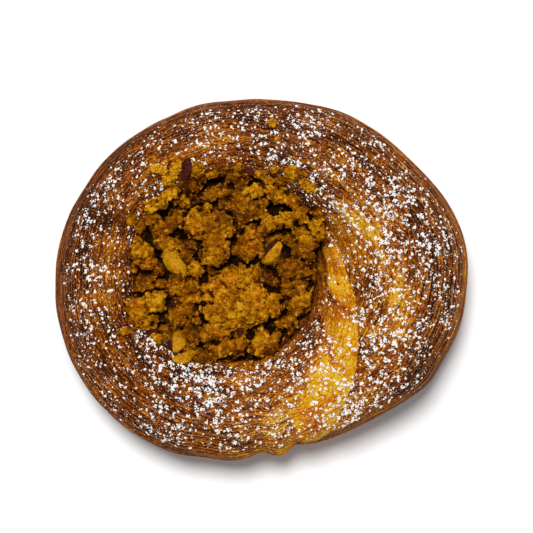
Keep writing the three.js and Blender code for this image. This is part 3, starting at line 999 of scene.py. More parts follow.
def use_tree(piece, tree, **values):
    """Puts a tree of nodes on a piece, with its named inputs set."""
    modifier = piece.modifiers.new(tree.name, "NODES")
    modifier.node_group = tree
    wanted = {name.replace("_", " "): value for name, value in values.items()}
    for item in tree.interface.items_tree:
        if item.in_out == "INPUT" and item.name in wanted:
            modifier[item.identifier] = wanted.pop(item.name)
    if wanted:
        raise ValueError(f"the tree {tree.name} has no input {sorted(wanted)}")
    return modifier


# ------------------------------------------------------------------ the crumble

CRUMBLE_RADIUS = 28.3
CORE_EDGE, CORE_TOP, CORE_FOOT = 20, 22, 16
# How high the middle of a low, middling and high clump lies over the core.
LEVELS = (0.8, 2.2, 3.4)
# Clumps that show: x, y, size across both ways, turn, level, brightness.
CLUMPS = [
    # the large one above the middle
    (-6.4, 12.3, 12, 10, 0, 2, 0.56), (-3.6, 4.3, 8, 9.5, 0, 2, 0.52), (-2.6, 10.6, 7, 9, 0, 2, 0.5),
    # the largest, below the middle
    (2.2, -2.6, 10.5, 7, 5, 2, 0.6), (-0.8, -10.9, 14, 12, 0, 2, 0.64), (6.1, -10.9, 11, 9.5, 0, 2, 0.64),
    (11.2, -10.6, 7, 7.5, 0, 2, 0.62), (-3.6, -17.3, 8.5, 6.5, 10, 2, 0.6),
    (-4.5, -5.3, 5.6, 4.6, 0, 2, 0.62), (6.4, -6.4, 7.5, 5, 0, 2, 0.66), (3.3, -18.4, 4.5, 4, 0, 1, 0.5),
    # the lower left
    (-25.6, -12.6, 8.5, 8, 0, 2, 0.6), (-20.9, -9.7, 8, 6.8, 30, 2, 0.64), (-22.9, -15, 6, 5.6, 0, 2, 0.58),
    # the left
    (-24.3, 4.5, 6.8, 6.8, 0, 2, 0.56), (-22.3, 1.5, 5, 4.5, 0, 2, 0.54), (-27, 0, 3, 3.6, 0, 1, 0.5),
    (-19, 10.6, 7.4, 4.8, 10, 1, 0.54), (-15.4, 12.3, 4.6, 4, 0, 1, 0.5),
    (-21.2, 14.2, 3.2, 3.2, 0, 1, 0.5), (-16.2, 6.6, 6.4, 4.2, -10, 1, 0.5),
    (-24.5, 11.4, 4.2, 4.8, 0, 1, 0.46), (-20.5, 7.6, 4.5, 3.5, 0, 0, 0.46),
    # the bright ones at the upper left rim, and the dark hollow beside them
    (-20.4, 17.4, 6.4, 4.2, 5, 2, 0.74), (-16.6, 19.7, 6.6, 3.8, 35, 2, 0.74),
    (-12.8, 18.6, 3.4, 3, 0, 1, 0.66), (-10.6, 21.2, 5.5, 4.2, 0, 0, 0.3),
    (-11.2, 17, 5.5, 3.6, 0, 0, 0.36), (-14.6, 14.8, 5.6, 4, 0, 0, 0.36),
    # the top
    (-6.4, 19.3, 3.6, 3.4, 0, 1, 0.46), (-3.6, 20.6, 4, 5, 0, 1, 0.42), (0, 21.3, 3.6, 4, 0, 0, 0.38),
    (2.6, 19.8, 4, 4.2, 0, 1, 0.4), (-0.6, 16.2, 5.8, 4, 0, 0, 0.34), (4.6, 17, 7.2, 5, 5, 1, 0.5),
    (9.5, 17.8, 4, 3.6, 0, 1, 0.5), (2.8, 14.4, 3.6, 3, 0, 0, 0.4), (7.5, 21.2, 6.4, 4.6, 0, 2, 0.62),
    (12.8, 20.2, 5.6, 4.6, -20, 2, 0.64), (11.2, 24, 3, 3.4, 0, 1, 0.54), (17, 25, 4, 4.2, 0, 1, 0.56),
    (21.3, 21.2, 5.5, 3, -30, 1, 0.58), (16.9, 20.8, 4.2, 3, 0, 0, 0.4), (18.4, 23.2, 3.2, 3, 0, 1, 0.56),
    # the upper right
    (6.1, 10, 3.8, 4.2, 0, 2, 0.58), (6.9, 5.6, 5.8, 5.2, 0, 1, 0.52), (2.8, 5, 4.6, 6.4, 0, 0, 0.46),
    (5, 13.8, 4.6, 3, 0, 1, 0.54), (8.9, 14.2, 3.5, 3.5, 0, 1, 0.5), (11.7, 12, 6.2, 5, 10, 2, 0.6),
    (15.9, 13.4, 4.8, 4.6, 0, 2, 0.68), (19.8, 14.2, 4, 5, 0, 1, 0.56), (17.3, 18.4, 4.6, 3.5, 0, 1, 0.58),
    (21.5, 7.6, 5.6, 6, 0, 1, 0.54), (25.1, 9.5, 3.5, 4.6, 0, 2, 0.6), (20, 4.8, 5.6, 4, -10, 1, 0.52),
    (16.2, 8, 3.6, 3.2, 0, 0, 0.46), (13.6, 16, 4, 3, 0, 0, 0.42),
    # the right
    (17.3, -0.3, 9, 6.8, 0, 1, 0.42), (22.2, -1.1, 4, 5, 0, 0, 0.42), (20, -9, 6.8, 6.2, 0, 1, 0.52),
    (15.9, -6.6, 5, 4, 0, 0, 0.44), (17.8, -11.8, 4, 3.6, 0, 1, 0.46), (15.2, -14.6, 5.8, 4.2, 20, 1, 0.46),
    (12.6, -16.8, 3.6, 3.2, 0, 0, 0.44), (19.6, -5, 3.6, 2.6, 0, 0, 0.46), (9.5, -1.8, 6, 4.2, 0, 0, 0.34),
    (13.4, 2.4, 3.6, 3.6, 0, 0, 0.36),
    # the bottom
    (9.6, -20, 6.8, 4.6, 0, 1, 0.58), (8.4, -23.2, 2.6, 4, 0, 1, 0.56), (11.9, -18.4, 3.4, 2.6, 0, 1, 0.56),
    (0, -21.6, 9.8, 5.4, -5, 1, 0.5), (-9.8, -18.7, 5.6, 5.6, 0, 1, 0.46), (-12, -22, 5.6, 3, 0, 0, 0.3),
    (-6.4, -24, 4.6, 3.4, 0, 0, 0.44), (-17.6, -17.3, 5, 4.2, 0, 0, 0.46),
    (-20.2, -19, 5.6, 3.4, -25, 0, 0.44), (4.8, -21.6, 3.6, 3, 0, 0, 0.42),
    # the middle left
    (-13.9, -12.6, 9.5, 5.4, 20, 1, 0.46), (-10.4, -16, 4.6, 3.6, 0, 1, 0.44),
    (-8.9, -12.8, 3.6, 4, 0, 0, 0.46), (-9.2, -0.6, 5.2, 4.6, 0, 1, 0.56),
    (-10.6, -6.1, 7.2, 6.8, 20, 1, 0.52), (-12.2, -9, 3.4, 2.8, 0, 1, 0.5),
    (-15.3, -5.3, 5, 3.6, 0, 0, 0.38), (-21.7, -2.6, 4, 3, 0, 0, 0.46), (-22.9, -5.4, 5.6, 4, 0, 0, 0.44),
    (-18.4, -4.6, 4, 3, 0, 0, 0.46), (-11.4, 3.2, 3.6, 4.6, 20, 1, 0.44), (-16.8, -16, 3.4, 2.8, 0, 0, 0.4),
]
FILL_CLUMPS = 170
GOLDEN_ANGLE = math.pi * (3 - math.sqrt(5))
SWELLINGS = 5  # of each clump, lump, nut or crumb
# Grains lie on the clumps above the first height, and the fused clumps end at the second.
GRAINS_FROM, SEEN_FROM = 20, 17.5

# Dark hollows between the clumps: x, y, radius.
HOLLOWS = [
    (-8.6, 20.6, 2.6), (-0.3, 19, 1.5), (1.7, 1.6, 1.7), (1.4, 7.4, 1.1), (15.9, 3.6, 2), (11.4, -0.9, 2.4),
    (9, 0.4, 1.5), (22.3, 0.4, 1.6), (-6.7, -3.1, 1.6), (-27.6, 1.4, 1.4), (-23.6, -2, 2),
    (-15.6, -9.6, 1.7), (-17.6, -12.6, 1.5), (-9.4, -16.9, 1.4), (11.7, -17.2, 1.5), (15, -12.6, 1.4),
    (-11.2, -20.2, 1.8), (3.9, 9.6, 1.2), (14.6, 9.6, 1.4), (18.6, 12, 1.2), (6.2, -18, 1.3),
    (14.5, -9.6, 1.4), (-12.4, 8.4, 1.2), (-19.4, 3.6, 1.3), (-20.6, -15.6, 1.2), (-8, 15.8, 1.3),
    (12.4, 17, 1.3), (-22.4, 9.2, 1.1), (-17.6, 15.4, 1.2), (20.4, 17.6, 1.3), (-4, -20.4, 1.3),
    (23.4, -6, 1.4),
]
HOLLOW_DEPTH = 2.6
# How far the heap reaches from the middle of the well: bearing, radius. Beyond, it sinks into the dough.
HEAP_EDGE = [
    (-180, 30.5), (-122, 30.5), (-108, 28), (-95, 26.4), (-82, 24.6), (-68, 26.6), (-50, 25.6), (-37, 25.2),
    (-24, 25), (-6, 24.2), (11, 24), (20, 28.5), (30, 30.5), (180, 30.5),
]
SINK_DEPTH = 9


def core_height(radius):
    return CORE_TOP + (CORE_EDGE - CORE_TOP) * np.minimum(radius / CRUMBLE_RADIUS, 1) ** 2


def heap_height(radius):
    """The heap climbs the rim of the well."""
    return core_height(radius) + 3.6 * float(smooth(radius, 20, 30))


@functools.cache
def ball(level):
    """Points and faces of a ball of triangles."""
    form = bmesh.new()
    bmesh.ops.create_icosphere(form, subdivisions=level, radius=1)
    points = np.array([v.co[:] for v in form.verts])
    faces = np.array([[v.index for v in f.verts] for f in form.faces])
    form.free()
    return points, faces


def joined(shapes):
    """Several sets of points and faces as one."""
    points, faces, start = [], [], 0
    for p, f in shapes:
        points.append(p)
        faces.extend(tuple(int(i) + start for i in face) for face in f)
        start += len(p)
    return np.concatenate(points), faces


def turned(points, degrees):
    c, s = way(degrees)
    return points @ np.array([[c, s, 0], [-s, c, 0], [0, 0, 1]])


def uneven_ball(random, level, bumps=0.1):
    """A ball with a few soft swellings."""
    points, faces = ball(level)
    swell = np.zeros(len(points))
    for _ in range(SWELLINGS):
        axis = any_axis(random)
        swell += np.sin((2.5 + 3.5 * random.random()) * points @ axis + 6.28 * random.random())
    return points * (1 + bumps * swell)[:, None], faces


def clump_list():
    """The clumps that are listed, and small low ones that fill between them."""
    random = np.random.default_rng(21)
    clumps = []
    for x, y, width, depth, turn, level, bright in CLUMPS:
        z = heap_height(math.hypot(x, y)) + LEVELS[level] + 0.5 * (random.random() - 0.5)
        clumps.append((x, y, width, depth, turn, z, bright))
    for k in range(FILL_CLUMPS):
        radius = (CRUMBLE_RADIUS - 1.2) * math.sqrt((k + 0.5) / FILL_CLUMPS)
        bearing = k * GOLDEN_ANGLE + 0.4 * random.random()
        size = 2.4 + 2.2 * random.random()
        z = heap_height(radius) + 0.2 + 2.2 * random.random()
        place = (radius * math.cos(bearing), radius * math.sin(bearing))
        clumps.append((*place, size, size * (0.8 + 0.4 * random.random()), 0, z, 0.3 + 0.2 * random.random()))
    return clumps


def clump_bodies(clumps):
    """The bare clumps, each a body with smaller lumps piled on it, onto which the grains go."""
    random = np.random.default_rng(22)
    shapes = []
    for x, y, width, depth, turn, z, _ in clumps:
        tall = 0.27 * min(width, depth) + 0.5
        half = np.array([width / 2 - 0.7, depth / 2 - 0.7, tall - 0.2])
        points, faces = uneven_ball(random, 3, 0.08)
        shapes.append((turned(points * half, turn) + (x, y, z), faces))
        count = int(3 + 0.38 * width * depth)
        for k in range(count):
            reach = math.sqrt((k + 0.5) / count)
            bearing = k * GOLDEN_ANGLE + 1.2 * random.random()
            up = math.sqrt(max(1 - reach**2, 0.02))
            place = np.array([reach * math.cos(bearing), reach * math.sin(bearing), up])
            place = place * half * (1.05, 1.05, 1)
            own = 0.6 + 0.75 * random.random() ** 1.4
            points, faces = uneven_ball(random, 2, 0.12)
            lump = points * own * (1.2, 1, 0.85) + place - (0, 0, 0.3 * own)
            shapes.append((turned(lump, turn) + (x, y, z), faces))
    return joined(shapes)


def round_body(rings):
    """A closed round body from its top pole, its rings from the top down, and its lower pole."""
    top, *middle, bottom = rings
    points = [top] + [p for ring in middle for p in ring] + [bottom]
    sides = len(middle[0])
    faces = []
    for i in range(sides):
        n = (i + 1) % sides
        faces.append((0, 1 + i, 1 + n))
        for level in range(len(middle) - 1):
            high, low = 1 + level * sides, 1 + (level + 1) * sides
            faces.append((high + i, low + i, low + n, high + n))
        last = 1 + (len(middle) - 1) * sides
        faces.append((len(points) - 1, last + n, last + i))
    return np.array(points, float), faces


def ring_of(radius, z, sides=64):
    angle = np.linspace(0, 2 * math.pi, sides, endpoint=False)
    return [(radius * math.cos(a), radius * math.sin(a), z) for a in angle]


def heap_core():
    """The body of the heap under the clumps, down to where it can't be seen."""
    rings = [(0, 0, CORE_TOP)]
    for radius in CRUMBLE_RADIUS * np.linspace(0.08, 1, 12):
        rings.append(ring_of(radius, core_height(radius)))
    rings.append(ring_of(25, CORE_FOOT))
    rings.append((0, 0, CORE_FOOT))
    return round_body(rings)


def heap_base():
    """The plain lower part that fills the well."""
    foot = WELL_FLOOR + 0.35
    return round_body([
        (0, 0, 18.4), ring_of(12, 18.4), ring_of(24.2, 18.2), ring_of(24.4, 17.6), ring_of(24, 12),
        ring_of(24.2, foot + 0.4), ring_of(23.8, foot), (0, 0, foot),
    ])


def gap_depth(points, cell, reach, low, high):
    """How deep each point lies under the mean height of the heap near it, from 0 to 1."""
    ij = np.floor((points[:, :2] - points[:, :2].min(0)) / cell).astype(int) + reach
    shape = ij.max(0) + reach + 1
    top = np.full(shape, -1e9)
    np.maximum.at(top, (ij[:, 0], ij[:, 1]), points[:, 2])
    level = np.where(top < -1e8, CORE_EDGE, top)
    total, count = np.zeros(shape), 0
    for di in range(-reach, reach + 1):
        for dj in range(-reach, reach + 1):
            total += np.roll(level, (di, dj), (0, 1))
            count += 1
    local = total / count
    return smooth(local[ij[:, 0], ij[:, 1]] - points[:, 2], low, high)


def clump_tones(points, clumps):
    """Each point takes the brightness of the clump that it lies on."""
    best = np.full(len(points), 1e9)
    tone = np.full(len(points), 0.3)
    for x, y, width, depth, turn, z, bright in clumps:
        c, s = way(turn)
        dx, dy = points[:, 0] - x, points[:, 1] - y
        away = np.sqrt(
            ((dx * c + dy * s) / width) ** 2
            + ((dy * c - dx * s) / depth) ** 2
            + ((points[:, 2] - z) / (min(width, depth) * 0.9)) ** 2
        )
        nearer = away < best
        best = np.where(nearer, away, best)
        tone = np.where(nearer, bright, tone)
    return tone


def nearest_values(mesh, name, points):
    """For each point, the value of the nearest vertex of a mesh."""
    values = values_of(mesh, name)
    tree = KDTree(len(mesh.vertices))
    for i, place in enumerate(vertices_of(mesh)):
        tree.insert(place, i)
    tree.balance()
    return np.array([values[tree.find(p)[1]] for p in points])


def roughen_tree():
    """Swells a surface into packed grains with creases between them, and roughens it by a noise."""
    tree, bench, given = new_tree("roughen", ROUGHEN_INPUTS)
    sockets = {"Scale": 1.0 / given["Lump size"], "Detail": 3.0, "Roughness": 0.65}
    wave = bench.make("ShaderNodeTexNoise", {}, sockets)["Fac"]
    away = bench.cells({"Scale": 1.0 / given["Grain size"]})["Distance"]
    normal = bench.make("GeometryNodeInputNormal")["Normal"]
    move = (wave - 0.5) * 2 * given["Height"] + (0.3 - away * away) * given["Grain height"]
    sockets = {"Geometry": given["Geometry"], "Offset": bench.scaled(normal, move)}
    hand_out(bench, given, bench.make("GeometryNodeSetPosition", {}, sockets)["Geometry"])
    return tree


def grained_clumps(look, clumps):
    """The core and its clumps, with grains strewn over them."""
    points, faces = joined([clump_bodies(clumps), heap_core()])
    mesh = new_mesh("clumps", in_frame(points), faces)
    give_values(mesh, "share", (points[:, 2] > GRAINS_FROM) * (normals_of(mesh)[:, 2] > -0.3))
    give_values(mesh, "chance", 0.5)
    piece = new_piece("crumble", mesh)
    use_tree(
        piece, grain_tree("grains", 1), Closeness=look.grain_size * 0.95, Density=1e7,
        Least_size=look.grain_size * 0.4, Largest_size=look.grain_size, Rarity_of_large=2.2, Flatness=0.0,
        Sink=-0.1, Dents=0.4, Keep_surface=True, Seed=5, Share="share",
    )
    return piece, baked(piece)


def delete_hidden(mesh):
    """Deletes the lower part of the fused clumps, which the base stands for."""
    form = bmesh.new()
    form.from_mesh(mesh)
    hidden = [f for f in form.faces if max(v.co.z for v in f.verts) < SEEN_FROM * MM]
    bmesh.ops.delete(form, geom=hidden, context="FACES")
    form.to_mesh(mesh)
    form.free()


def fused(look, piece):
    """One skin over the clumps and their grains, roughened, and thinned if it has too many triangles."""
    fuse = piece.modifiers.new("fuse", "REMESH")
    fuse.mode = "VOXEL"
    fuse.voxel_size = look.fineness
    use_tree(
        piece, roughen_tree(), Height=look.roughness, Lump_size=0.0014, Grain_size=0.00125,
        Grain_height=0.0009, Material=crumble_material(look),
    )
    mesh = baked(piece)
    delete_hidden(mesh)
    share = look.most_triangles / sum(len(p.vertices) - 2 for p in mesh.polygons)
    if share < 1:
        piece.modifiers.new("thin", "DECIMATE").ratio = share
        mesh = baked(piece)
    return mesh


def press_hollows(points):
    """Lowers the heap in the dark hollows."""
    for x, y, radius in HOLLOWS:
        away = np.hypot(points[:, 0] / MM - WELL_X - x, points[:, 1] / MM - WELL_Y - y)
        above = smooth(points[:, 2] / MM, 19.5, 23)
        points[:, 2] -= HOLLOW_DEPTH * MM * np.exp(-((away / radius) ** 2)) * above


def sink_edge(points):
    """Lowers what lies beyond the heap's edge into the dough."""
    east, north = points[:, 0] / MM - WELL_X, points[:, 1] / MM - WELL_Y
    edge = np.interp(np.degrees(np.arctan2(north, east)), *zip(*HEAP_EDGE))
    edge = edge + 0.6 * soft_noise(east / 1.5, north / 1.5, 91)
    points[:, 2] -= SINK_DEPTH * MM * smooth(np.hypot(east, north) - edge, -0.6, 0.8)


def make_crumble(look):
    clumps = clump_list()
    piece, grains = grained_clumps(look, clumps)
    skin = fused(look, piece)
    points = vertices_of(skin)
    press_hollows(points)
    sink_edge(points)
    base, base_faces = heap_base()
    verts, faces = joined([(points, [p.vertices for p in skin.polygons]), (in_frame(base), base_faces)])
    mesh = new_mesh("crumble", verts, faces)
    own = verts / MM - (WELL_X, WELL_Y, 0)
    # How deep each point lies in the heap, which the material darkens as painted shade.
    give_values(mesh, "depth", gap_depth(own, cell=0.5, reach=4, low=0.2, high=2.4))
    give_values(mesh, "pit", gap_depth(own, cell=0.34, reach=2, low=-0.35, high=0.5))
    give_values(mesh, "clump_tone", clump_tones(own, clumps))
    give_values(mesh, "chance", nearest_values(grains, "chance", verts))
    piece.data = mesh
    mesh.shade_smooth()
    mesh.materials.append(bpy.data.materials["golden_crumble"])
    return piece


# ------------------------------------------------------------------ nuts, skins and loose crumbs

# x, y, length, width, thickness, turn, lean, the bearing of the side with skin or None, how far up it stands.
NUTS = [
    (-15, 1.1, 8.2, 5, 5, -55, 0.1, None, 0.1),
    (12.1, 3.7, 6, 4.4, 4.4, 49, 0.2, 139, 0.25),
    (-14.2, -20.4, 5, 4.2, 4.2, 85, 0, 180, 0.15),
    (-12.3, -24.7, 6.2, 2.8, 3, 20, 0, None, 0.1),
]
# x, y, length, width, turn, lean up from lying flat, height over what it lies on.
SKINS = [
    (-11.7, 26.9, 6.2, 3.1, 78, 35, 1.7),
    (5.6, 26.3, 3.6, 1.7, -35, 20, 0.7),
    (7.9, -4.2, 2.6, 1.6, 10, 20, 0.3),
    (-15.4, -9.6, 3.4, 2, 60, 35, 0.5),
    (-21.2, -17.8, 4, 1.6, 20, 30, 0.6),
    (3.1, -17.6, 2.6, 2.2, 60, 25, 0.4),
    (-3.2, 12.8, 1.8, 1.2, 30, 10, 0.1),
    (-6.8, 9.6, 1.2, 0.9, 0, 10, 0.1),
]
# Lumps of crumble on the dough: x, y, width, depth, turn, brightness.
RIM_LUMPS = [
    (-14.6, 26.4, 5.6, 2.6, 68, 0.8), (-8.5, 26.6, 4.2, 3.6, 75, 0.66), (-18.9, 26.6, 4.6, 2.6, -12, 0.74),
    (-16.4, 23.8, 3.6, 2.8, -30, 0.66), (2.3, 26.6, 3.6, 1.6, 70, 0.56), (11.8, 39.3, 2.4, 1.9, 0, 0.74),
    (13.2, 34.9, 1.6, 1, 30, 0.66), (-28.2, -17.3, 2.8, 2, 0, 0.62), (12.6, 26.6, 1.9, 1.7, 0, 0.56),
    (20.4, 25.4, 1.8, 1.5, 0, 0.56), (-5, 25.2, 2, 1.4, 0, 0.56), (17.2, 25.4, 3.8, 4.4, 0, 0.62),
    (21.6, 22, 5.4, 2.8, -30, 0.62), (14, 23.6, 3, 2.4, 20, 0.5), (24.6, 13.4, 2.6, 4.4, 0, 0.6),
    (26.2, 8.4, 2.4, 3.4, 0, 0.56), (0.4, 24.4, 3, 2, 0, 0.4), (-26.4, 12.8, 2.4, 3.6, 0, 0.5),
    (8.6, 25.2, 3.2, 2, 0, 0.54),
]
FINE_CRUMBS = 70
CUTS = 9  # flat sides of a nut
SKIN_THICKNESS = 0.2
ABOVE_ALL = 0.06  # in metres, from where the ground is looked for


def ground(pieces):
    """A way to ask how high the pieces stand at a place, and which way they face there."""
    points, faces = joined([(vertices_of(p.data), [f.vertices for f in p.data.polygons]) for p in pieces])
    tree = BVHTree.FromPolygons(points.tolist(), faces)

    def at(x, y):
        start = Vector(((x + WELL_X) * MM, (y + WELL_Y) * MM, ABOVE_ALL))
        place, normal, _, _ = tree.ray_cast(start, Vector((0, 0, -1)))
        return (place.z / MM if place else 0), (normal if place else Vector((0, 0, 1)))

    return at


def level_round(at, x, y, reach):
    """The height that most of the ground near a place reaches."""
    heights = [at(x + reach * dx, y + reach * dy)[0] for dx in (-1, 0, 1) for dy in (-1, 0, 1)]
    return float(np.percentile(heights, 60))


def nut(random, at, x, y, length, width, thick, turn, lean, skin_side, up):
    """A blocky, smooth piece with rounded edges."""
    points, faces = uneven_ball(random, 4, 0.02)
    for _ in range(CUTS):
        axis = any_axis(random)
        over = np.maximum(points @ axis - (0.66 + 0.2 * random.random()), 0)
        points = points - 0.85 * over[:, None] * axis
    wave = soft_noise(points[:, 0] * 3.1 + points[:, 2], points[:, 1] * 3.1 - points[:, 2], 73)
    wave = wave + 0.5 * soft_noise(points[:, 0] * 7 + points[:, 2], points[:, 1] * 7 - points[:, 2], 79)
    points = points * (1 + 0.06 * wave)[:, None] * (1.25, 1.25, 1.2)
    points[:, 0] *= 1 + 0.18 * points[:, 1]
    side = np.zeros(len(points))
    shape = turned(points * (length / 2, width / 2, thick / 2), turn)
    shape[:, 2] += lean * shape[:, 0]
    if skin_side is not None:
        c, s = way(skin_side)
        out = (shape[:, 0] * c + shape[:, 1] * s) / (min(length, width) / 2)
        side = smooth(out, 0.4, 0.7)
    z = level_round(at, x, y, 0.3 * width) + up * thick
    return shape + (x, y, z), faces, side


def skin_flake(random, at, x, y, length, width, turn, lean, up):
    """A thin curved flake."""
    points, faces = uneven_ball(random, 4, 0.06)
    shape = points * (length / 2, width / 2, SKIN_THICKNESS)
    shape[:, 2] += 0.12 * (shape[:, 1] / (width / 2)) ** 2 * width - 0.02 * shape[:, 0] ** 2
    shape[:, 1] *= 1 + 0.25 * points[:, 0] + 0.12 * np.sin(7 * points[:, 0])
    c, s = way(lean)
    y0, z0 = shape[:, 1].copy(), shape[:, 2].copy()
    shape[:, 1], shape[:, 2] = y0 * c - z0 * s, y0 * s + z0 * c
    z = level_round(at, x, y, 0.3 * width) + up
    return turned(shape, turn) + (x, y, z), faces, np.ones(len(points))


def make_nuts(look, at):
    random = np.random.default_rng(31)
    made = [nut(random, at, *entry) for entry in NUTS] + [skin_flake(random, at, *entry) for entry in SKINS]
    points, faces = joined([(p, f) for p, f, _ in made])
    mesh = new_mesh("nuts_and_skins", in_frame(points), faces)
    give_values(mesh, "skin", np.concatenate([s for _, _, s in made]))
    return new_piece("nuts_and_skins", mesh, nut_material(look))


def give_loose_values(mesh, tone):
    """What the crumble's material reads, for grains that lie loose."""
    give_values(mesh, "clump_tone", tone)
    give_values(mesh, "depth", 0)
    give_values(mesh, "pit", 0)
    give_values(mesh, "chance", 0.5)


def make_grains(look, crumble):
    """Small bright grains that lie loose on the clumps."""
    mesh = crumble.data.copy()
    raised = (vertices_of(mesh)[:, 2] / MM > GRAINS_FROM) * smooth(normals_of(mesh)[:, 2], 0.2, 0.6)
    give_values(mesh, "share", raised * (1 - values_of(mesh, "depth")) ** 2)
    piece = new_piece("crumble_grains", mesh)
    mesh.materials.clear()
    use_tree(
        piece, grain_tree("loose_grains", 1), Closeness=look.loose_size * 1.2,
        Density=look.loose_amount * 1e6, Least_size=look.loose_size * 0.4, Largest_size=look.loose_size,
        Rarity_of_large=1.6, Flatness=0.0, Sink=-0.2, Dents=0.4, Seed=12, Share="share",
        Material=bpy.data.materials["golden_crumble"],
    )
    mesh = baked(piece)
    tone = 0.34 + 0.36 * values_of(mesh, "chance")
    drop_values(mesh, ("clump_tone", "depth", "pit", "share", "chance"))
    give_loose_values(mesh, tone)
    mesh.shade_smooth()
    return piece


def lump_grains(random):
    """The grains of the lumps on the dough: x, y, radius, height over the ground, brightness."""
    for x, y, width, depth, turn, bright in RIM_LUMPS:
        count = int(6 + 1.5 * width * depth)
        for k in range(count):
            reach, bearing = math.sqrt((k + 0.3) / count), k * 2.4
            east, north = reach * math.cos(bearing) * width / 2, reach * math.sin(bearing) * depth / 2
            dx, dy, _ = turned(np.array([east, north, 0]), turn)
            own = 0.32 + 0.3 * random.random()
            up = 0.35 * min(width, depth) * (1 - reach**2) + 0.2
            yield x + dx, y + dy, min(own, 0.3 * depth + 0.12), up, bright + 0.2 * (random.random() - 0.5)


def fine_grains(random):
    """Single crumbs round the heap, in twos, given in the same way."""
    for _ in range(FINE_CRUMBS):
        bearing = 2 * math.pi * random.random()
        radius = 26.5 + 4.5 * random.random() ** 1.6
        own = 0.18 + 0.3 * random.random() ** 2
        x, y = radius * math.cos(bearing), radius * math.sin(bearing)
        for dx, dy in ((0, 0), (own, 0.5 * own)):
            yield x + dx, y + dy, own, 0.3 * own, 0.45 + 0.35 * random.random()


def make_crumbs(at):
    """Lumps and single crumbs that fell on the dough: each a few grains together."""
    random = np.random.default_rng(32)
    grains = [*lump_grains(random), *fine_grains(random)]
    shapes, tones = [], []
    for x, y, own, up, bright in grains:
        points, faces = uneven_ball(random, 2, 0.11)
        height, _ = at(x, y)
        shapes.append((points * own * (1.1, 1.1, 1) + (x, y, height + up), faces))
        tones.append(np.full(len(points), bright))
    points, faces = joined(shapes)
    mesh = new_mesh("loose_crumbs", in_frame(points), faces)
    give_loose_values(mesh, np.concatenate(tones))
    return new_piece("loose_crumbs", mesh, bpy.data.materials["golden_crumble"])


# ------------------------------------------------------------------ the icing sugar

def make_sugar(name, dough, tree, **sizes):
    """Grains of sugar strewn by a tree where the dough is dusted."""
    piece = new_piece(name, dough.data.copy())
    use_tree(piece, tree, Share="dusting", Material=bpy.data.materials["sugar_powder"], **sizes)
    mesh = baked(piece)
    drop_values(mesh, (*CRUST_VALUES, "dusting", "chance"))
    mesh.shade_smooth()
    return piece


def make_clots(look, dough):
    return make_sugar(
        "icing_sugar_clots", dough, grain_tree("icing_sugar_clots", 1, in_specks=True),
        Closeness=look.least * 1.9, Density=look.amount * 1e6, Least_size=look.least,
        Largest_size=look.largest, Rarity_of_large=1.5, Flatness=0.35, Sink=-0.1, Dents=0.6,
        Speck_size=look.speck, Seed=8,
    )


def make_dust(look, dough):
    return make_sugar(
        "icing_sugar_dust", dough, grain_tree("icing_sugar_dust", 0),
        Closeness=look.least * 0.9, Density=look.dust * 1e6, Least_size=look.least * 0.5,
        Largest_size=look.least * 0.9, Rarity_of_large=1.5, Flatness=0.2, Sink=-0.1, Dents=0.1, Seed=9,
    )


# ------------------------------------------------------------------ the stage

def make_camera(look):
    lens = bpy.data.cameras.new("camera")
    lens.sensor_width = 36
    lens.lens = look.distance / look.view_width * lens.sensor_width
    camera = bpy.data.objects.new("camera", lens)
    camera.location = (look.centre_x, look.centre_y, look.distance + look.widest)
    bpy.context.scene.collection.objects.link(camera)
    bpy.context.scene.camera = camera


def make_lights(look):
    """One soft main light, and an even one from all round."""
    key = bpy.data.lights.new("key", "SUN")
    key.energy = look.key_strength
    key.angle = look.key_width
    key_object = bpy.data.objects.new("key", key)
    key_object.rotation_euler = Vector(look.key_way).to_track_quat("-Z", "Y").to_euler()
    bpy.context.scene.collection.objects.link(key_object)
    world = bpy.data.worlds.new("sky")
    world.use_nodes = True
    world.node_tree.nodes.clear()
    bench = Bench(world.node_tree)
    light = bench.make("ShaderNodeBackground", {}, {"Color": (1, 1, 1, 1), "Strength": look.sky_strength})
    bench.make("ShaderNodeOutputWorld", {}, {"Surface": light["Background"]})
    bpy.context.scene.world = world


def make_floor(look):
    size, low = look.floor_size, -look.floor_drop
    corners = np.array([(-size, -size, low), (size, -size, low), (size, size, low), (-size, size, low)])
    _, finish = new_material("floor")
    material = finish({"Base Color": look.floor_colour, "Roughness": 0.8, "Specular IOR Level": 0.1})
    floor = new_piece("floor", new_mesh("floor", corners, [(0, 1, 2, 3)]), material)
    floor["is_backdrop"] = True


def make_stage(look):
    make_camera(look)
    make_lights(look)
    make_floor(look)
    view = bpy.context.scene.view_settings
    view.view_transform = "Standard"
    view.look = "None"
    view.exposure = 0
    view.gamma = 1


# ------------------------------------------------------------------ settings, operators and panel

def length(name, description, metres):
    return FloatProperty(name=name, description=description, default=metres, unit="LENGTH")


def amount(name, description, default):
    return FloatProperty(name=name, description=description, default=default)


def tint(name, description, red, green, blue):
    """A colour setting in linear values from 0 to 1."""
    return FloatVectorProperty(
        name=name, description=description, subtype="COLOR", size=4, default=(red, green, blue, 1))


def colour(name, description, red, green, blue):
    """A colour setting in the values seen on a screen, from 0 to 255."""
    return tint(name, description, *linear(red, green, blue))


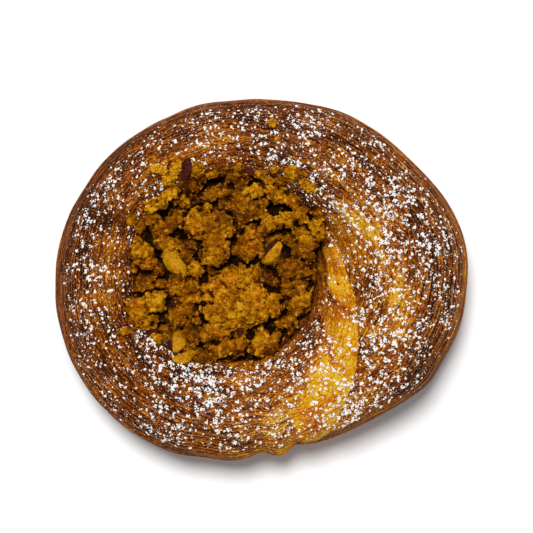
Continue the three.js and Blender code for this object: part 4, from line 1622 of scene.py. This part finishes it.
class DoughSettings(bpy.types.PropertyGroup):
    layer_pitch: length("Layer pitch", "Usual distance between two layers", 0.0015)
    layer_height: length("Layer height", "Height of a layer's rounded edge", 0.00055)
    streakiness: amount("Streakiness", "How much one layer differs from the next in its bake", 0.085)
    straw_colour: colour("Straw", "The palest dough", 222, 175, 44)
    pale_colour: colour("Pale", "Dough without egg wash", 210, 154, 16)
    gold_colour: colour("Gold", "Lightly baked", 188, 108, 11)
    amber_colour: colour("Amber", "Brushed and lightly baked", 164, 84, 8)
    brown_colour: colour("Brown", "Most of the crust", 112, 51, 8)
    dark_colour: colour("Dark", "Well baked crust", 70, 27, 3)
    deep_colour: colour("Deep", "The darkest crust", 40, 12, 1)
    # Colour of the painted sheen on the crests and the layers' edges
    crest_sheen_colour: colour("Crest", "Crests of the layers", 140, 97, 64)
    # Tint of the painted shade in the grooves
    groove_shade_colour: tint("Groove", "Tint of the grooves", 0.34, 0.24, 0.16)


class CrumbleSettings(bpy.types.PropertyGroup):
    grain_size: length("Grain size", "Radius of the largest grains in a clump", 0.0006)
    fineness: length("Fineness", "Mesh size of the fused clumps", 0.00027)
    roughness: length("Roughness", "Height of the uneven surface", 0.0004)
    loose_size: length("Loose grains", "Radius of the largest loose grains", 0.00036)
    loose_amount: amount("Loose amount", "Loose grains to a square millimetre", 0.9)
    most_triangles: IntProperty(
        name="Most triangles", description="The fused clumps are thinned to this many", default=190000)
    dark_colour: colour("Dark", "Darkest grains", 70, 34, 0)
    brown_colour: colour("Brown", "Browner grains", 112, 60, 0)
    gold_colour: colour("Gold", "Most of the grains", 150, 90, 1)
    bright_colour: colour("Bright", "Brighter grains", 182, 120, 4)
    yellow_colour: colour("Yellow", "The yellowest grains", 212, 156, 26)
    warm_colour: tint("Warm", "Tint of the redder patches", 0.96, 0.7, 0.5)
    # Colour of the painted glints on the grains
    fleck_glint_colour: colour("Fleck", "Pale flecks", 214, 160, 44)
    # Colour of the painted shade at the bottom of the gaps
    gap_shade_colour: colour("Gap", "Bottom of the gaps", 26, 12, 0)


class NutSettings(bpy.types.PropertyGroup):
    flesh_colour: colour("Flesh", "Nut and apple flesh", 172, 114, 3)
    flesh_dark_colour: colour("Flesh dark", "Darker flesh", 124, 72, 1)
    flesh_bright_colour: colour("Flesh bright", "Brighter flesh", 200, 144, 14)
    skin_colour: colour("Skin", "Skin of the nuts", 88, 38, 26)
    skin_dark_colour: colour("Skin dark", "Darker skin", 48, 14, 14)


class SugarSettings(bpy.types.PropertyGroup):
    least: length("Least clot", "Radius of the smallest clots", 0.00019)
    largest: length("Largest clot", "Radius of the largest clots", 0.0004)
    speck: length("Speck distance", "Distance between specks of clots", 0.00125)
    amount: amount("Clots", "Clots to a square millimetre within a speck", 9.0)
    dust: amount("Dust", "Fine grains to a square millimetre where it lies thick", 0.9)
    colour: tint("Sugar", "Colour of the sugar", 0.95, 0.94, 0.91)
    shade_colour: tint("Sugar shade", "Its darker parts", 0.8, 0.77, 0.71)


class StageSettings(bpy.types.PropertyGroup):
    distance: length("Distance", "Height of the camera above the widest part", 0.75)
    widest: length("Widest part", "Height of the danish's widest part", 0.012)
    view_width: length("View width", "Width of the picture at the widest part", 0.1486)
    centre_x: length("Centre X", "Middle of the picture", 0.00118)
    centre_y: length("Centre Y", "Middle of the picture", 0.00355)
    key_strength: amount("Key", "Strength of the main light", 3.0)
    key_width: FloatProperty(
        name="Key width", description="How soft its shadow is", default=math.radians(17), subtype="ANGLE")
    key_way: FloatVectorProperty(
        name="Key way", description="Which way it shines", default=(0.09, -0.31, -1), subtype="DIRECTION")
    sky_strength: amount("Sky", "Strength of the even light", 0.32)
    floor_colour: tint("Floor", "Colour of the floor", 0.9, 0.9, 0.9)
    floor_size: length("Floor size", "Half of its width", 1.5)
    floor_drop: length("Floor drop", "How far it lies below the danish", 0.00005)


class DanishSettings(bpy.types.PropertyGroup):
    dough: PointerProperty(type=DoughSettings)
    crumble: PointerProperty(type=CrumbleSettings)
    nuts: PointerProperty(type=NutSettings)
    sugar: PointerProperty(type=SugarSettings)
    stage: PointerProperty(type=StageSettings)


class DANISH_OT_stage(bpy.types.Operator):
    """Makes the camera, the lights and the floor"""

    bl_idname = "danish.stage"
    bl_label = "Stage"

    def execute(self, context):
        make_stage(context.scene.danish.stage)
        return {"FINISHED"}


class DANISH_OT_dough(bpy.types.Operator):
    """Makes the coiled strip of laminated dough"""

    bl_idname = "danish.dough"
    bl_label = "Dough"

    def execute(self, context):
        ready(make_dough(context.scene.danish.dough), "crust", "dough_coil")
        return {"FINISHED"}


class DANISH_OT_crumble(bpy.types.Operator):
    """Makes the heap of crumble in the well"""

    bl_idname = "danish.crumble"
    bl_label = "Crumble"

    def execute(self, context):
        ready(make_crumble(context.scene.danish.crumble), "crumble", "crumble_heap")
        return {"FINISHED"}


class DANISH_OT_nuts(bpy.types.Operator):
    """Lays nut and apple pieces, dark skins and loose crumbs on the heap and the rim"""

    bl_idname = "danish.nuts"
    bl_label = "Nuts and crumbs"

    def execute(self, context):
        looks, crumble = context.scene.danish, found("crumble")
        at = ground([found("dough"), crumble])
        ready(make_nuts(looks.nuts, at), "crumble", "crumble_heap")
        ready(make_crumbs(at), "crumble")
        ready(make_grains(looks.crumble, crumble), "crumble")
        return {"FINISHED"}


class DANISH_OT_sugar(bpy.types.Operator):
    """Dusts the dough with icing sugar"""

    bl_idname = "danish.sugar"
    bl_label = "Icing sugar"

    def execute(self, context):
        look, dough = context.scene.danish.sugar, found("dough")
        sugar_material(look)
        ready(make_clots(look, dough), "icing_sugar")
        ready(make_dust(look, dough), "icing_sugar")
        return {"FINISHED"}


PANEL_ROWS = (
    ("dough", DANISH_OT_dough),
    ("crumble", DANISH_OT_crumble),
    ("nuts", DANISH_OT_nuts),
    ("sugar", DANISH_OT_sugar),
    ("stage", DANISH_OT_stage),
)


class DANISH_PT_panel(bpy.types.Panel):
    """Lists the pieces of the danish and their settings"""

    bl_idname = "DANISH_PT_panel"
    bl_label = "Apple Danish"
    bl_space_type = "VIEW_3D"
    bl_region_type = "UI"
    bl_category = "Danish"

    def draw(self, context):
        for name, operator in PANEL_ROWS:
            box = self.layout.box()
            box.operator(operator.bl_idname)
            group = getattr(context.scene.danish, name)
            for key in group.__annotations__:
                box.prop(group, key)


CLASSES = (
    DoughSettings, CrumbleSettings, NutSettings, SugarSettings, StageSettings, DanishSettings,
    DANISH_OT_stage, DANISH_OT_dough, DANISH_OT_crumble, DANISH_OT_nuts, DANISH_OT_sugar, DANISH_PT_panel,
)


def register():
    for cls in CLASSES:
        bpy.utils.register_class(cls)
    bpy.types.Scene.danish = PointerProperty(type=DanishSettings)


def unregister():
    del bpy.types.Scene.danish
    for cls in reversed(CLASSES):
        bpy.utils.unregister_class(cls)


def main():
    register()
    bpy.ops.danish.stage()
    bpy.ops.danish.dough()
    bpy.ops.danish.crumble()
    bpy.ops.danish.nuts()
    bpy.ops.danish.sugar()
    low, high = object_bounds()
    box = {
        "cad": [list(CAD_BOX[0]), list(CAD_BOX[1])],
        "visual": [list(low), list(high)],
    }


if __name__ == "__main__":
    main()
